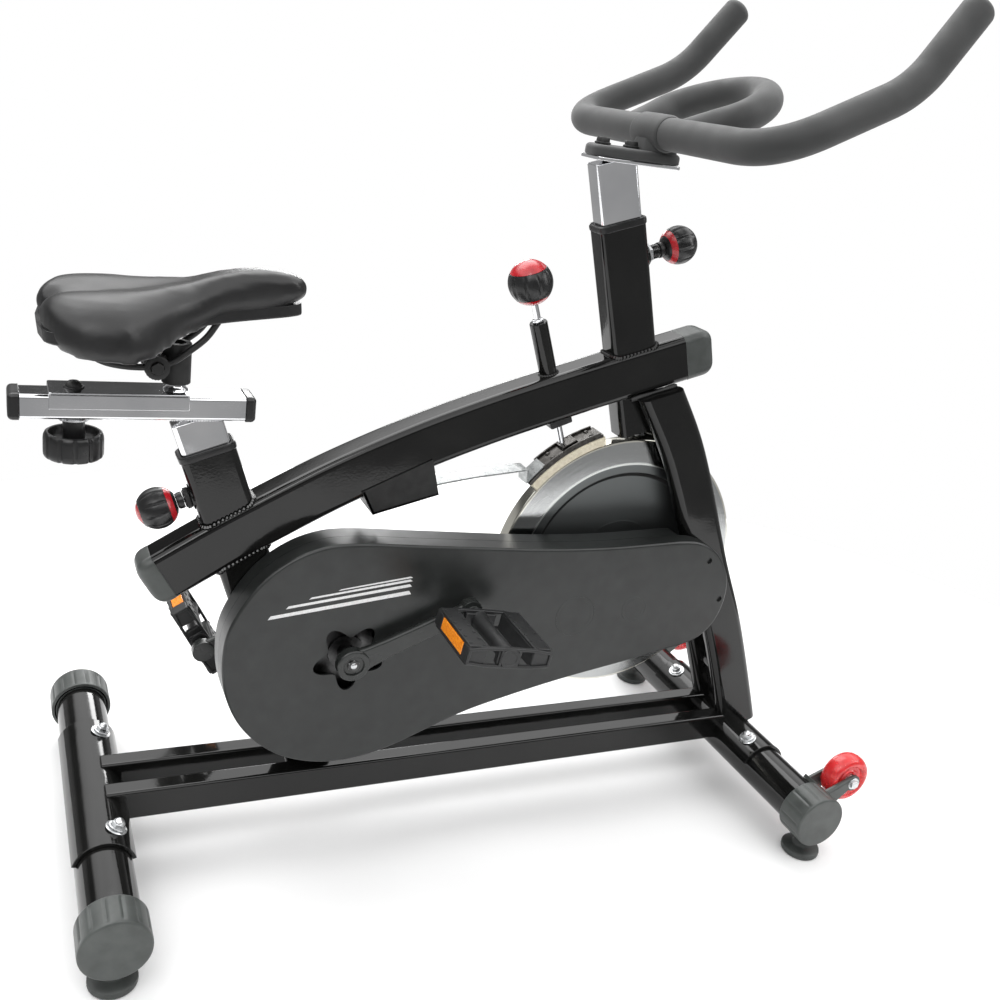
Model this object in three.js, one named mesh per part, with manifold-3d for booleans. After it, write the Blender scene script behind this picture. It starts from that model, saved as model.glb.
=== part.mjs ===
// Indoor spin bike: flywheel, chain drive, felt brake, sliding saddle and bar.
// Millimetres. +X is the front of the bike, +Y its left, +Z up, floor at Z = 0.
import * as THREE from "three";
import { mergeVertices } from "three/addons/utils/BufferGeometryUtils.js";
import Module from "manifold-3d";

const wasm = await Module();
wasm.setup();

// ---- driving dimensions -------------------------------------------------

const ORIGIN_X = 460.735; // rear stabiliser axis to the middle of the bike's length
const GAP = 0.3; // clearance between pieces that touch

const STAB_X = { rear: 0, front: 907 };
const STAB_HALF = { rear: 250, front: 258 };
const STAB_Z = 62;
const STAB_R = 31;
const STAB_WALL = 2.5;
const ROUND = 24; // facets of the stabilisers and their caps
const CAP_R = 37.6;
const CAP_LENGTH = 42;
const FOOT_R = 26;
const FOOT_INSET = 24; // foot centre to the end of the cap
const PLATE_R = 35.5; // outside of the plates that hug the stabilisers
const PLATE_HALF = 125;
const BOLT_Y = 97;
const BOLT_ANGLE = 24; // degrees from straight up

const RAIL = { inner: 17, outer: 42, low: 60, high: 99, wall: 2 };
const BEAM = { high: 60, wide: 44, wall: 3, corner: 10 };
const BEAM_LINE = [
  [69.5, 365.3], [127, 400.5], [185.5, 433.8], [264, 476], [358.7, 519.4],
  [441.5, 551.9], [514.8, 577.6], [596.3, 604.8], [679, 631.6], [702, 639],
];
const LEG = { deep: 60, thick: 24, inner: 18.5, wall: 2, corner: 11 };
const LEG_LINE = [
  [637, 640], [661, 604], [711, 530.5], [739, 479], [801.5, 346], [852, 246.8], [915, 98], [922, 80],
];

const POST = { deep: 54, wide: 28, wall: 2, corner: 5 };
const SLEEVE = { deep: 62, wide: 36, wall: 2.8, corner: 8 };
const SEAT_LEAN = 19.6; // degrees back from upright
const SEAT_TOP = [110, 513]; // middle of the seat sleeve's mouth
const BAR_LEAN = 17.8;
const BAR_TOP = [578, 798];
const BAR_SLEEVE_LENGTH = 271;
const HOLE_PITCH = 25;

const CRANK = { x: 277, z: 272, length: 155, angle: 23.5 };
const CRANK_Y = { inner: 76, outer: 90 };
const PEDAL = { inner: 105, outer: 203, half: 54, thick: 13, pitch: { right: -8, left: -60 } };
const FLYWHEEL = { x: 665, z: 347, radius: 180, half: 10 };
const CHAIN_Y = -48;
const COVER = { face: -68, split: -44, back: -19.2, wall: 2.4 };

const BRAKE_FOOT = [517, 613]; // where the brake tube meets the beam
const BRAKE_LEAN = 21.5;
const KNOB_R = 27;
const PAD = { start: 107, end: 142, gap: 2.2, felt: 12, plate: 4, half: 15 };

const SLIDE = { rear: -77, front: 148, low: 549.5, high: 575.5, half: 19, wall: 2.5 };
const CARRIAGE = { rear: -50, front: 88, lip: 562, wall: 3.5 };
const SLIDE_BOLT_X = -25;
const SADDLE_PIN_X = 76;
const TILT_AXIS = [53, 609];

const BAR_TUBE_R = 18.5;
const WHEEL = { x: 975, y: 213, z: 98, radius: 35, half: 14 };

// ---- materials ----------------------------------------------------------

const paint = (color, roughness, metalness) =>
  new THREE.MeshStandardMaterial({ color, roughness, metalness });
const LOOK = {
  gloss: paint(0x0c0c0d, 0.15, 0.2),
  chrome: paint(0xc9ccd0, 0.12, 1),
  steel: paint(0x8a8c8f, 0.35, 1),
  zinc: paint(0xb4b6b8, 0.3, 1),
  cast: paint(0x6f7274, 0.3, 0.9),
  shell: paint(0x26282a, 0.45, 0),
  plastic: paint(0x2b2c2e, 0.6, 0),
  black: paint(0x111213, 0.4, 0),
  foam: paint(0x3b3d3e, 0.8, 0),
  vinyl: paint(0x161617, 0.5, 0),
  felt: paint(0xd9d1b8, 0.95, 0),
  wheel: paint(0x8c1a26, 0.25, 0),
  amber: paint(0xd9541e, 0.2, 0),
};

// ---- shape helpers ------------------------------------------------------

const V = (x, y, z) => new THREE.Vector3(x, y, z);
const rad = THREE.MathUtils.degToRad;
const ACROSS = V(0, 1, 0);

// closed triangle mesh to a solid with its faces pointing out
function solid(geometry) {
  const bare = geometry.clone();
  bare.deleteAttribute("normal");
  bare.deleteAttribute("uv");
  const merged = mergeVertices(bare, 1e-4);
  const p = merged.attributes.position.array;
  const index = merged.index.array;
  const tris = [];
  let volume = 0;
  const a = V(0, 0, 0), b = V(0, 0, 0), c = V(0, 0, 0);
  for (let i = 0; i < index.length; i += 3) {
    const [m, n, o] = [index[i], index[i + 1], index[i + 2]];
    if (m === n || n === o || o === m) continue;
    a.fromArray(p, 3 * m);
    b.fromArray(p, 3 * n);
    c.fromArray(p, 3 * o);
    volume += a.dot(b.cross(c));
    tris.push(m, n, o);
  }
  if (volume < 0) tris.reverse();
  return new wasm.Manifold(new wasm.Mesh({
    numProp: 3,
    vertProperties: new Float32Array(p),
    triVerts: new Uint32Array(tris),
  }));
}

function toGeometry(body) {
  const mesh = body.getMesh();
  const geometry = new THREE.BufferGeometry();
  geometry.setAttribute("position", new THREE.BufferAttribute(new Float32Array(mesh.vertProperties), 3));
  geometry.setIndex(Array.from(mesh.triVerts));
  geometry.computeVertexNormals();
  return geometry;
}

// rounded rectangle, a wide along the first axis and b along the second
function roundedOutline(a, b, r, steps = 2) {
  const points = [];
  const corners = [[1, 1, 0], [-1, 1, 90], [-1, -1, 180], [1, -1, 270]];
  for (const [sx, sy, start] of corners) {
    for (let i = 0; i <= steps; i++) {
      const t = rad(start + (90 * i) / steps);
      points.push(new THREE.Vector2(sx * (a / 2 - r) + r * Math.cos(t), sy * (b / 2 - r) + r * Math.sin(t)));
    }
  }
  return points;
}

function roundOutline(r, sides = 16) {
  return Array.from({ length: sides }, (_, i) => {
    const t = (2 * Math.PI * (i + 0.5)) / sides;
    return new THREE.Vector2(r * Math.cos(t), r * Math.sin(t));
  });
}

function shapeOf(points, hole) {
  const shape = new THREE.Shape(points);
  if (hole) shape.holes.push(new THREE.Path([...hole].reverse()));
  return shape;
}

// straight prism from one point to another; the outline's first axis lies along `across`
function prism(outline, from, to, across, hole, bevel = 0) {
  const axis = to.clone().sub(from);
  const depth = axis.length() - 2 * bevel;
  const geometry = new THREE.ExtrudeGeometry(shapeOf(outline, hole), {
    depth,
    bevelEnabled: bevel > 0,
    bevelThickness: bevel,
    bevelSize: bevel,
    bevelOffset: -bevel,
    bevelSegments: 1,
  });
  const z = axis.normalize();
  const y = z.clone().cross(across).normalize();
  const x = y.clone().cross(z);
  geometry.translate(0, 0, bevel);
  geometry.applyMatrix4(new THREE.Matrix4().makeBasis(x, y, z).setPosition(from));
  return solid(geometry);
}

// outline in the X-Z plane, from y = low to y = high
function plate(points, low, high, hole, bevel = 0) {
  const outline = points.map(([x, z]) => new THREE.Vector2(x, z));
  return prism(outline, V(0, high, 0), V(0, low, 0), V(1, 0, 0), hole, bevel);
}

// profile [radius, distance along axis] turned about an axis
function revolve(profile, from, along, segments = 16) {
  const geometry = new THREE.LatheGeometry(profile.map(([r, s]) => new THREE.Vector2(r, s)), segments);
  geometry.applyQuaternion(new THREE.Quaternion().setFromUnitVectors(V(0, 1, 0), along.clone().normalize()));
  geometry.translate(from.x, from.y, from.z);
  return solid(geometry);
}

const rod = (r, from, to, segments = 12) => {
  const length = from.distanceTo(to);
  return revolve([[0, 0], [r, 0], [r, length], [0, length]], from, to.clone().sub(from), segments);
};

const box = (x0, x1, y0, y1, z0, z1) => {
  const geometry = new THREE.BoxGeometry(x1 - x0, y1 - y0, z1 - z0);
  return solid(geometry.translate((x0 + x1) / 2, (y0 + y1) / 2, (z0 + z1) / 2));
};

// outline carried along a smooth line in the X-Z plane at a given y
function sweep(outline, line, y, steps, hole) {
  const path = new THREE.CatmullRomCurve3(line.map(([x, z]) => V(x, y, z)), false, "centripetal");
  return solid(new THREE.ExtrudeGeometry(shapeOf(outline, hole), {
    steps,
    bevelEnabled: false,
    extrudePath: path,
  }));
}

const union = (...bodies) => bodies.reduce((sum, body) => sum.add(body));
const ball = (r, centre, width = 24) =>
  solid(new THREE.SphereGeometry(r, width, width / 2).translate(centre.x, centre.y, centre.z));
const circle = (x, z, r, n, start = 0) =>
  Array.from({ length: n }, (_, i) => {
    const t = rad(start) + (2 * Math.PI * i) / n;
    return [x + r * Math.cos(t), z + r * Math.sin(t)];
  });

// directions of the two leaning tubes: up along the tube, and square out of its front face
const seatUp = V(-Math.sin(rad(SEAT_LEAN)), 0, Math.cos(rad(SEAT_LEAN)));
const seatOut = V(-Math.cos(rad(SEAT_LEAN)), 0, -Math.sin(rad(SEAT_LEAN)));
const barUp = V(-Math.sin(rad(BAR_LEAN)), 0, Math.cos(rad(BAR_LEAN)));
const barOut = V(Math.cos(rad(BAR_LEAN)), 0, Math.sin(rad(BAR_LEAN)));
const seatMouth = V(SEAT_TOP[0], 0, SEAT_TOP[1]);
const barMouth = V(BAR_TOP[0], 0, BAR_TOP[1]);
const along = (point, direction, s) => point.clone().addScaledVector(direction, s);

// ---- scene --------------------------------------------------------------

const group = new THREE.Group();
const bike = new THREE.Group();
bike.position.x = -ORIGIN_X;
group.add(bike);

function piece(name, body, material) {
  const mesh = new THREE.Mesh(toGeometry(body), material);
  mesh.name = name;
  bike.add(mesh);
  return mesh;
}

// ---- base: stabilisers, caps, feet, rails --------------------------------

for (const end of ["rear", "front"]) {
  const x = STAB_X[end];
  const half = STAB_HALF[end];
  const tubeHalf = half - 4;
  let tube = revolve([
    [STAB_R - STAB_WALL, -tubeHalf], [STAB_R, -tubeHalf], [STAB_R, tubeHalf],
    [STAB_R - STAB_WALL, tubeHalf], [STAB_R - STAB_WALL, -tubeHalf],
  ], V(x, 0, STAB_Z), ACROSS, ROUND);
  const lean = rad(end === "rear" ? BOLT_ANGLE : -BOLT_ANGLE);
  const out = V(Math.sin(lean), 0, Math.cos(lean));
  const arc = (r, from, to, n) =>
    Array.from({ length: n + 1 }, (_, i) => {
      const t = rad(from + ((to - from) * i) / n);
      return [x + r * Math.sin(t), STAB_Z + r * Math.cos(t)];
    });
  let saddle = plate([...arc(PLATE_R, -72, 72, 12), ...arc(STAB_R + GAP, 72, -72, 12)], -PLATE_HALF, PLATE_HALF);
  for (const side of [-1, 1]) {
    const axis = V(x, side * BOLT_Y, STAB_Z);
    tube = tube.subtract(rod(4.4, axis, along(axis, out, 40), 12));
    saddle = saddle.add(revolve(
      [[0, 24], [4, 24], [4, 34], [11, 34.5], [10, 39], [5.5, 41.7], [0, 42.2]], axis, out, 12));
  }
  piece(`stabilizer_${end}`, tube, LOOK.gloss);
  piece(`saddle_plate_${end}`, saddle, LOOK.gloss);

  for (const [side, tag] of [[-1, "right"], [1, "left"]]) {
    // end cap: a cup over the tube, with a thread in its belly for the foot
    const s0 = half - CAP_LENGTH;
    const cup = [[STAB_R + GAP, s0], [CAP_R, s0], [CAP_R, half - 6], [CAP_R - 2, half - 1.8], [CAP_R - 6, half],
      [0, half], [0, half - 3.6], [STAB_R + GAP, half - 3.6], [STAB_R + GAP, s0]];
    const footY = side * (half - FOOT_INSET);
    let cap = revolve(cup, V(x, 0, STAB_Z), V(0, side, 0), ROUND);
    if (end === "front") {
      // fork arms that carry the transport wheel
      for (const face of [-1, 1]) {
        const y = side * WHEEL.y + face * (WHEEL.half + 3);
        const tip = circle(WHEEL.x, WHEEL.z, 11, 12, -120).slice(0, 8);
        cap = cap.add(plate([[x + 22, STAB_Z + 28], [x + 33, STAB_Z - 2], ...tip], y - 2, y + 2));
      }
      // tongue of the cup's wall that reaches back to the inner arm
      const reach = [WHEEL.y - WHEEL.half - 7, s0 + 2].map((y) => side * y).sort((a, b) => a - b);
      cap = cap.add(plate([...arc(CAP_R - 0.6, 30, 105, 8), ...arc(STAB_R - 1, 105, 30, 8)], ...reach));
      cap = cap
        .subtract(rod(STAB_R + GAP, V(x, side * 150, STAB_Z), V(x, side * (half - 3.6), STAB_Z), ROUND))
        .subtract(rod(4.5, V(WHEEL.x, side * 180, WHEEL.z), V(WHEEL.x, side * 250, WHEEL.z), 8));
    }
    cap = cap.subtract(rod(6.6, V(x, footY, 10), V(x, footY, STAB_Z - 20), 10));
    piece(`stabilizer_cap_${end}_${tag}`, cap, LOOK.plastic);

    const foot = new THREE.Mesh(toGeometry(revolve([
      [0, 0], [FOOT_R - 2, 0], [FOOT_R, 2], [FOOT_R, 9], [11, 13], [11, 22.5], [6, 22.5], [6, 30], [0, 30],
    ], V(0, 0, 0), V(0, 0, 1), 18)), LOOK.black);
    foot.name = `foot_${end}_${tag}`;
    foot.position.set(x, footY, 0);
    bike.add(foot);
  }
}

const legBody = (y, grow, hole) =>
  sweep(roundedOutline(LEG.thick + 2 * grow, LEG.deep + 2 * grow, LEG.corner), LEG_LINE, y, 7, hole);
const plateCut = (x) => rod(PLATE_R + GAP, V(x, -200, STAB_Z), V(x, 200, STAB_Z), 32);
const plateCuts = plateCut(STAB_X.rear).add(plateCut(STAB_X.front));

for (const [side, tag] of [[-1, "right"], [1, "left"]]) {
  const y = (side * (RAIL.inner + RAIL.outer)) / 2;
  const wide = RAIL.outer - RAIL.inner;
  const high = RAIL.high - RAIL.low;
  const z = (RAIL.high + RAIL.low) / 2;
  const rail = prism(
    roundedOutline(wide, high, 3, 2), V(10, y, z), V(STAB_X.front - 10, y, z), ACROSS,
    roundedOutline(wide - 2 * RAIL.wall, high - 2 * RAIL.wall, 1.5, 2),
  ).subtract(plateCuts).subtract(legBody(side * (LEG.inner + LEG.thick / 2), GAP));
  piece(`rail_${tag}`, rail, LOOK.gloss);
}

// ---- main beam, seat tube, head tube -------------------------------------

const beamBody = (grow, steps = 9) =>
  sweep(roundedOutline(BEAM.wide + 2 * grow, BEAM.high + 2 * grow, BEAM.corner + grow), BEAM_LINE, 0, steps);
const seatFoot = along(seatMouth, seatUp, -(SEAT_TOP[1] - RAIL.high) / seatUp.z);
const sleeveOutline = (grow = 0) =>
  roundedOutline(SLEEVE.wide + 2 * grow, SLEEVE.deep + 2 * grow, SLEEVE.corner + grow);
const boreOutline = roundedOutline(SLEEVE.wide - 2 * SLEEVE.wall, SLEEVE.deep - 2 * SLEEVE.wall, 5.4);
const barFoot = along(barMouth, barUp, -BAR_SLEEVE_LENGTH);

const pinRoot = {
  seat: along(along(seatMouth, seatUp, -50), seatOut, SLEEVE.deep / 2),
  bar: along(along(barMouth, barUp, -47), barOut, SLEEVE.deep / 2),
};
const bossLength = { seat: 9, bar: 20 };

const seatTube = prism(sleeveOutline(), along(seatFoot, seatUp, -30), seatMouth, ACROSS, boreOutline)
  .subtract(box(100, 400, -60, 60, 40, RAIL.high + GAP))
  .add(revolve([[4, -1], [13, -1], [13, 4], [10, 4], [10, bossLength.seat], [4, bossLength.seat], [4, -1]],
    pinRoot.seat, seatOut, 6))
  .subtract(rod(4.3, along(pinRoot.seat, seatOut, -8), along(pinRoot.seat, seatOut, 20), 16));
piece("seat_tube", seatTube, LOOK.gloss);

const headTube = prism(sleeveOutline(), barFoot, barMouth, ACROSS, boreOutline)
  .add(revolve([[4, -1], [13, -1], [13, 4], [9, 4], [9, bossLength.bar], [4, bossLength.bar], [4, -1]],
    pinRoot.bar, barOut, 16))
  .subtract(rod(4.3, along(pinRoot.bar, barOut, -8), along(pinRoot.bar, barOut, 40), 16));
piece("head_tube", headTube, LOOK.gloss);

// brake tube, welded on top of the beam; the brake rod runs through tube and beam
const brakeUp = V(-Math.sin(rad(BRAKE_LEAN)), 0, Math.cos(rad(BRAKE_LEAN)));
const brakeFoot = V(BRAKE_FOOT[0], 0, BRAKE_FOOT[1]);
const brakeBore = rod(6, along(brakeFoot, brakeUp, -120), along(brakeFoot, brakeUp, 90), 12);
const beam = sweep(
  roundedOutline(BEAM.wide, BEAM.high, BEAM.corner), BEAM_LINE, 0, 9,
  roundedOutline(BEAM.wide - 2 * BEAM.wall, BEAM.high - 2 * BEAM.wall, BEAM.corner - BEAM.wall),
)
  .add(rod(11, along(brakeFoot, brakeUp, -6), along(brakeFoot, brakeUp, 64), 16))
  .add(prism(roundedOutline(26, 30, 4, 2), along(brakeFoot, brakeUp, -61), along(brakeFoot, brakeUp, -75), ACROSS)
    .subtract(beamBody(-1)))
  .subtract(prism(sleeveOutline(GAP), seatFoot, along(seatMouth, seatUp, 10), ACROSS))
  .subtract(prism(sleeveOutline(GAP), along(barFoot, barUp, -5), barMouth, ACROSS))
  .subtract(brakeBore);
piece("main_beam", beam, LOOK.gloss);

function beamCap(name, line, length) {
  const [a, b] = line.map(([x, z]) => V(x, 0, z));
  const outwards = b.clone().sub(a).normalize();
  const seat = along(b, outwards, GAP);
  const lid = prism(roundedOutline(BEAM.wide, BEAM.high, BEAM.corner), seat, along(seat, outwards, length),
    ACROSS, null, Math.min(length * 0.45, 10));
  const inner = roundedOutline(BEAM.wide - 2 * BEAM.wall - 1, BEAM.high - 2 * BEAM.wall - 1, BEAM.corner - 4);
  piece(name, lid.add(prism(inner, along(seat, outwards, -14), along(seat, outwards, length / 2), ACROSS)), LOOK.plastic);
}
beamCap("beam_cap_rear", [BEAM_LINE[1], BEAM_LINE[0]], 24);
beamCap("beam_cap_front", [BEAM_LINE[8], BEAM_LINE[9]], 44);

// ---- front legs, either side of the flywheel ------------------------------

const legTopCut = prism(
  [new THREE.Vector2(-60, -200), new THREE.Vector2(60, -200), new THREE.Vector2(60, 200), new THREE.Vector2(-60, 200)],
  V(659.3, 0, 592.6), V(659.3 - 30.6, 0, 592.6 + 95.2), ACROSS);
const axle = V(FLYWHEEL.x, 0, FLYWHEEL.z);
for (const [side, tag] of [[-1, "right"], [1, "left"]]) {
  const y = side * (LEG.inner + LEG.thick / 2);
  let leg = legBody(y, 0,
    roundedOutline(LEG.thick - 2 * LEG.wall, LEG.deep - 2 * LEG.wall, LEG.corner - LEG.wall, 2))
    .subtract(legTopCut)
    .subtract(plateCuts);
  if (side < 0) {
    // axle arm outside the leg, clear of the chain, with a boss to the leg's side
    const arm = plate([...circle(axle.x, axle.z, 20, 16, 90).slice(0, 9), [801, 334], [799, 359]], -57, -52)
      .add(rod(12, V(790, -41.8, 348), V(790, -53, 348), 18));
    leg = leg.add(arm).subtract(rod(8.9, V(axle.x, -70, axle.z), V(axle.x, -40, axle.z)));
  } else {
    // axle arm on the leg's rear face
    const arm = plate([...circle(axle.x, axle.z, 20, 16, 90).slice(0, 9), [777, 331], [770, 365]], 26, 32);
    leg = leg.add(arm).subtract(rod(8.9, V(axle.x, 20, axle.z), V(axle.x, 40, axle.z)));
  }
  piece(`front_leg_${tag}`, leg, LOOK.gloss);
}
piece("leg_brace", rod(15, V(884, -LEG.inner + GAP, 168), V(884, LEG.inner - GAP, 168), 16), LOOK.gloss);

// ---- drive ----------------------------------------------------------------

const bracketPlate = plate([[212, 305], [262, 292], [262, 252], [230, 240]], -14, 14);
const bottomBracket = rod(23, V(CRANK.x, -32, CRANK.z), V(CRANK.x, 32, CRANK.z), 20)
  .add(bracketPlate)
  .subtract(prism(sleeveOutline(GAP), seatFoot, seatMouth, ACROSS))
  .subtract(rod(11, V(CRANK.x, -60, CRANK.z), V(CRANK.x, 60, CRANK.z), 18));
piece("bottom_bracket", bottomBracket, LOOK.gloss);

piece("crank_axle", revolve([
  [0, -CRANK_Y.outer + 1], [7, -CRANK_Y.outer + 1], [7.4, -CRANK_Y.inner + 2], [10.6, -CRANK_Y.inner + 4],
  [10.6, CRANK_Y.inner - 4], [7.4, CRANK_Y.inner - 2], [7, CRANK_Y.outer - 1], [0, CRANK_Y.outer - 1],
], V(CRANK.x, 0, CRANK.z), ACROSS, 20), LOOK.steel);

// toothed disc in the X-Z plane
function toothed(x, z, r, teeth, depth, y0, y1, phase = 0) {
  const points = [];
  for (let i = 0; i < teeth; i++) {
    for (const [part, radius] of [[0, r], [0.3, r], [0.65, r - depth]]) {
      const t = (2 * Math.PI * (i + part + phase)) / teeth;
      points.push([x + radius * Math.cos(t), z + radius * Math.sin(t)]);
    }
  }
  return plate(points, y0, y1);
}
const CHAINRING_R = 103;
const SPROCKET_R = 30.5;
let chainring = plate(circle(CRANK.x, CRANK.z, CHAINRING_R, 40), CHAIN_Y - 1.5, CHAIN_Y + 1.5);
for (let i = 0; i < 5; i++) {
  const t = rad(90 + 72 * i);
  const window = circle(CRANK.x + 60 * Math.cos(t), CRANK.z + 60 * Math.sin(t), 25, 8);
  chainring = chainring.subtract(plate(window, CHAIN_Y - 5, CHAIN_Y + 5));
}
chainring = chainring
  .add(rod(22, V(CRANK.x, CHAIN_Y - 6, CRANK.z), V(CRANK.x, CHAIN_Y + 6, CRANK.z), 18))
  .subtract(rod(10.6 + GAP, V(CRANK.x, -90, CRANK.z), V(CRANK.x, 0, CRANK.z), 18));
piece("chainring", chainring, LOOK.steel);

// outer contour of a loop around two circles, as points
function loopPoints(r1, r2, n = 20) {
  const dx = axle.x - CRANK.x, dz = axle.z - CRANK.z;
  const tilt = Math.atan2(dz, dx);
  const open = Math.acos((r1 - r2) / Math.hypot(dx, dz));
  const points = [];
  for (let i = 0; i <= n; i++) {
    const t = tilt + open + ((2 * Math.PI - 2 * open) * i) / n;
    points.push([CRANK.x + r1 * Math.cos(t), CRANK.z + r1 * Math.sin(t)]);
  }
  for (let i = 0; i <= n / 2; i++) {
    const t = tilt - open + (2 * open * i) / (n / 2);
    points.push([axle.x + r2 * Math.cos(t), axle.z + r2 * Math.sin(t)]);
  }
  return points;
}
const chain = plate(loopPoints(CHAINRING_R + 5, SPROCKET_R + 5), CHAIN_Y - 3.5, CHAIN_Y + 3.5)
  .subtract(plate(loopPoints(CHAINRING_R + 0.6, SPROCKET_R + 0.6), CHAIN_Y - 6, CHAIN_Y + 6));
piece("drive_chain", chain, LOOK.steel);

// crank arms with their pedal axles, turned as one about the crank axle
for (const [side, tag] of [[-1, "right"], [1, "left"]]) {
  const turn = rad(CRANK.angle) + (side > 0 ? Math.PI : 0);
  const end = [CRANK.length * Math.cos(turn), CRANK.length * Math.sin(turn)];
  const nx = -Math.sin(turn), nz = Math.cos(turn);
  const tip = V(CRANK.x + end[0], 0, CRANK.z + end[1]);
  const blade = [
    [CRANK.x + nx * 15, CRANK.z + nz * 15], [tip.x + nx * 10, tip.z + nz * 10],
    [tip.x - nx * 10, tip.z - nz * 10], [CRANK.x - nx * 15, CRANK.z - nz * 15],
  ];
  const lo = Math.min(side * CRANK_Y.inner, side * CRANK_Y.outer);
  const hi = Math.max(side * CRANK_Y.inner, side * CRANK_Y.outer);
  const at = (y) => V(tip.x, side * y, tip.z);
  const arm = plate(blade, lo + 2, hi - 2)
    .add(rod(20, V(CRANK.x, lo, CRANK.z), V(CRANK.x, hi, CRANK.z), 18))
    .add(rod(14, V(tip.x, lo, tip.z), V(tip.x, hi, tip.z), 16))
    .add(rod(8, at(CRANK_Y.inner - 2), at(PEDAL.inner - 3), 16))
    .add(rod(5, at(PEDAL.inner - 6), at(PEDAL.outer - 8), 16))
    .subtract(rod(11.6, V(CRANK.x, side * 60, CRANK.z), V(CRANK.x, side * (CRANK_Y.inner + 0.4), CRANK.z)))
    .subtract(revolve([[0, 0], [7.9, 0], [7.5, 15.5], [0, 15.5]],
      V(CRANK.x, side * (CRANK_Y.inner - 1), CRANK.z), V(0, side, 0), 16))
    .subtract(rod(4, at(CRANK_Y.inner - 6), at(CRANK_Y.inner + 6), 6));
  piece(`crank_${tag}`, arm, LOOK.chrome);

  // pedal: a waisted body on the axle, open between its two treads and its end plates
  const pedal = new THREE.Group();
  pedal.position.set(tip.x, side * PEDAL.inner, tip.z);
  pedal.rotation.y = -rad(PEDAL.pitch[tag]);
  bike.add(pedal);
  const wide = PEDAL.outer - PEDAL.inner;
  const slab = (x0, x1, s0, s1, z0, z1) =>
    box(x0, x1, Math.min(side * s0, side * s1), Math.max(side * s0, side * s1), z0, z1);
  const T = PEDAL.thick;
  const H = PEDAL.half;
  let body = prism(roundedOutline(2 * H, 2 * T, 7, 3), V(0, 0, 0), V(0, side * wide, 0), V(1, 0, 0), null, 1.5);
  for (const end2 of [-1, 1]) {
    body = body
      .subtract(slab(end2 * 22 - 11, end2 * 22 + 11, 10, wide - 10, -30, 30))
      .subtract(slab(end2 * 22 - 13, end2 * 22 + 13, wide - 4, wide + 4, -T + 5, T - 5))
      .subtract(slab(end2 * 22 - 13, end2 * 22 + 13, -4, 4, -T + 5, T - 5));
    for (const face of [-1, 1]) {
      body = body.subtract(slab(end2 * 43 - 2, end2 * 43 + 2, 12, wide - 12, face > 0 ? T - 2 : -T - 2, face > 0 ? T + 2 : -T + 2));
    }
    body = body.subtract(slab(end2 * (H - 3), end2 * (H + 3), 18, wide - 18, -T + 5, T - 5));
  }
  body = body.subtract(rod(5.1, V(0, side * -2, 0), V(0, side * (wide - 7), 0), 18));
  const pedalMesh = new THREE.Mesh(toGeometry(body), LOOK.black);
  pedalMesh.name = `pedal_${tag}`;
  pedal.add(pedalMesh);
  for (const [end2, where] of [[-1, "rear"], [1, "front"]]) {
    const lens = slab(end2 * (H - 3 + GAP), end2 * (H - 0.6), 18 + GAP, wide - 18 - GAP, -T + 5 + GAP, T - 5 - GAP);
    const mesh = new THREE.Mesh(toGeometry(lens), LOOK.amber);
    mesh.name = `reflector_${tag}_${where}`;
    pedal.add(mesh);
  }
}

// ---- flywheel --------------------------------------------------------------

const R = FLYWHEEL.radius;
const W = FLYWHEEL.half;
const side1 = [[8.2, W + 4], [30, W + 4], [30, 4], [127, 4], [133, 7], [134, W - 1], [146, W], [R - 1.5, W],
  [R, W - 1.5]];
const flyProfile = [
  ...side1.map(([r, s]) => [r, -s]),
  ...[...side1].reverse(),
  [8.2, -W - 4],
];
piece("flywheel", revolve(flyProfile, axle, ACROSS, 44), LOOK.cast);

const sprocket = toothed(axle.x, axle.z, SPROCKET_R, 15, 4, CHAIN_Y - 1.5, CHAIN_Y + 1.5)
  .add(rod(16, V(axle.x, CHAIN_Y, axle.z), V(axle.x, -W - 4 - GAP, axle.z), 16))
  .subtract(rod(8.7, V(axle.x, -80, axle.z), V(axle.x, 0, axle.z), 24));
piece("flywheel_sprocket", sprocket, LOOK.steel);

const nut = (y0, y1) => rod(12, V(axle.x, y0, axle.z), V(axle.x, y1, axle.z), 6);
const flyAxle = rod(8.1, V(axle.x, -64, axle.z), V(axle.x, 44, axle.z), 16)
  .add(nut(-62.6, -57 - GAP))
  .add(nut(32 + GAP, 40))
  .add(rod(11, V(axle.x, W + 4 + GAP, axle.z), V(axle.x, 26 - GAP, axle.z), 18));
piece("flywheel_axle", flyAxle, LOOK.zinc);

// ---- chain cover ------------------------------------------------------------

const coverLine = [
  [128, 272], [131, 312], [149, 352], [174, 384], [207, 407], [240, 418], [272, 420],
  [350, 414.5], [430, 408.5], [500, 403.5], [560, 401], [620, 400.5], [690, 403], [725, 404],
  [752, 401], [777, 390], [797, 371], [810, 348], [815, 322], [812, 296], [802, 273], [786, 257],
  [764, 247], [735, 241], [660, 226], [585, 212], [510, 195], [440, 176], [395, 158], [350, 139],
  [312, 128], [275, 124.5], [240, 129], [205, 142], [174, 165], [150, 195], [134, 233],
];
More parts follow.
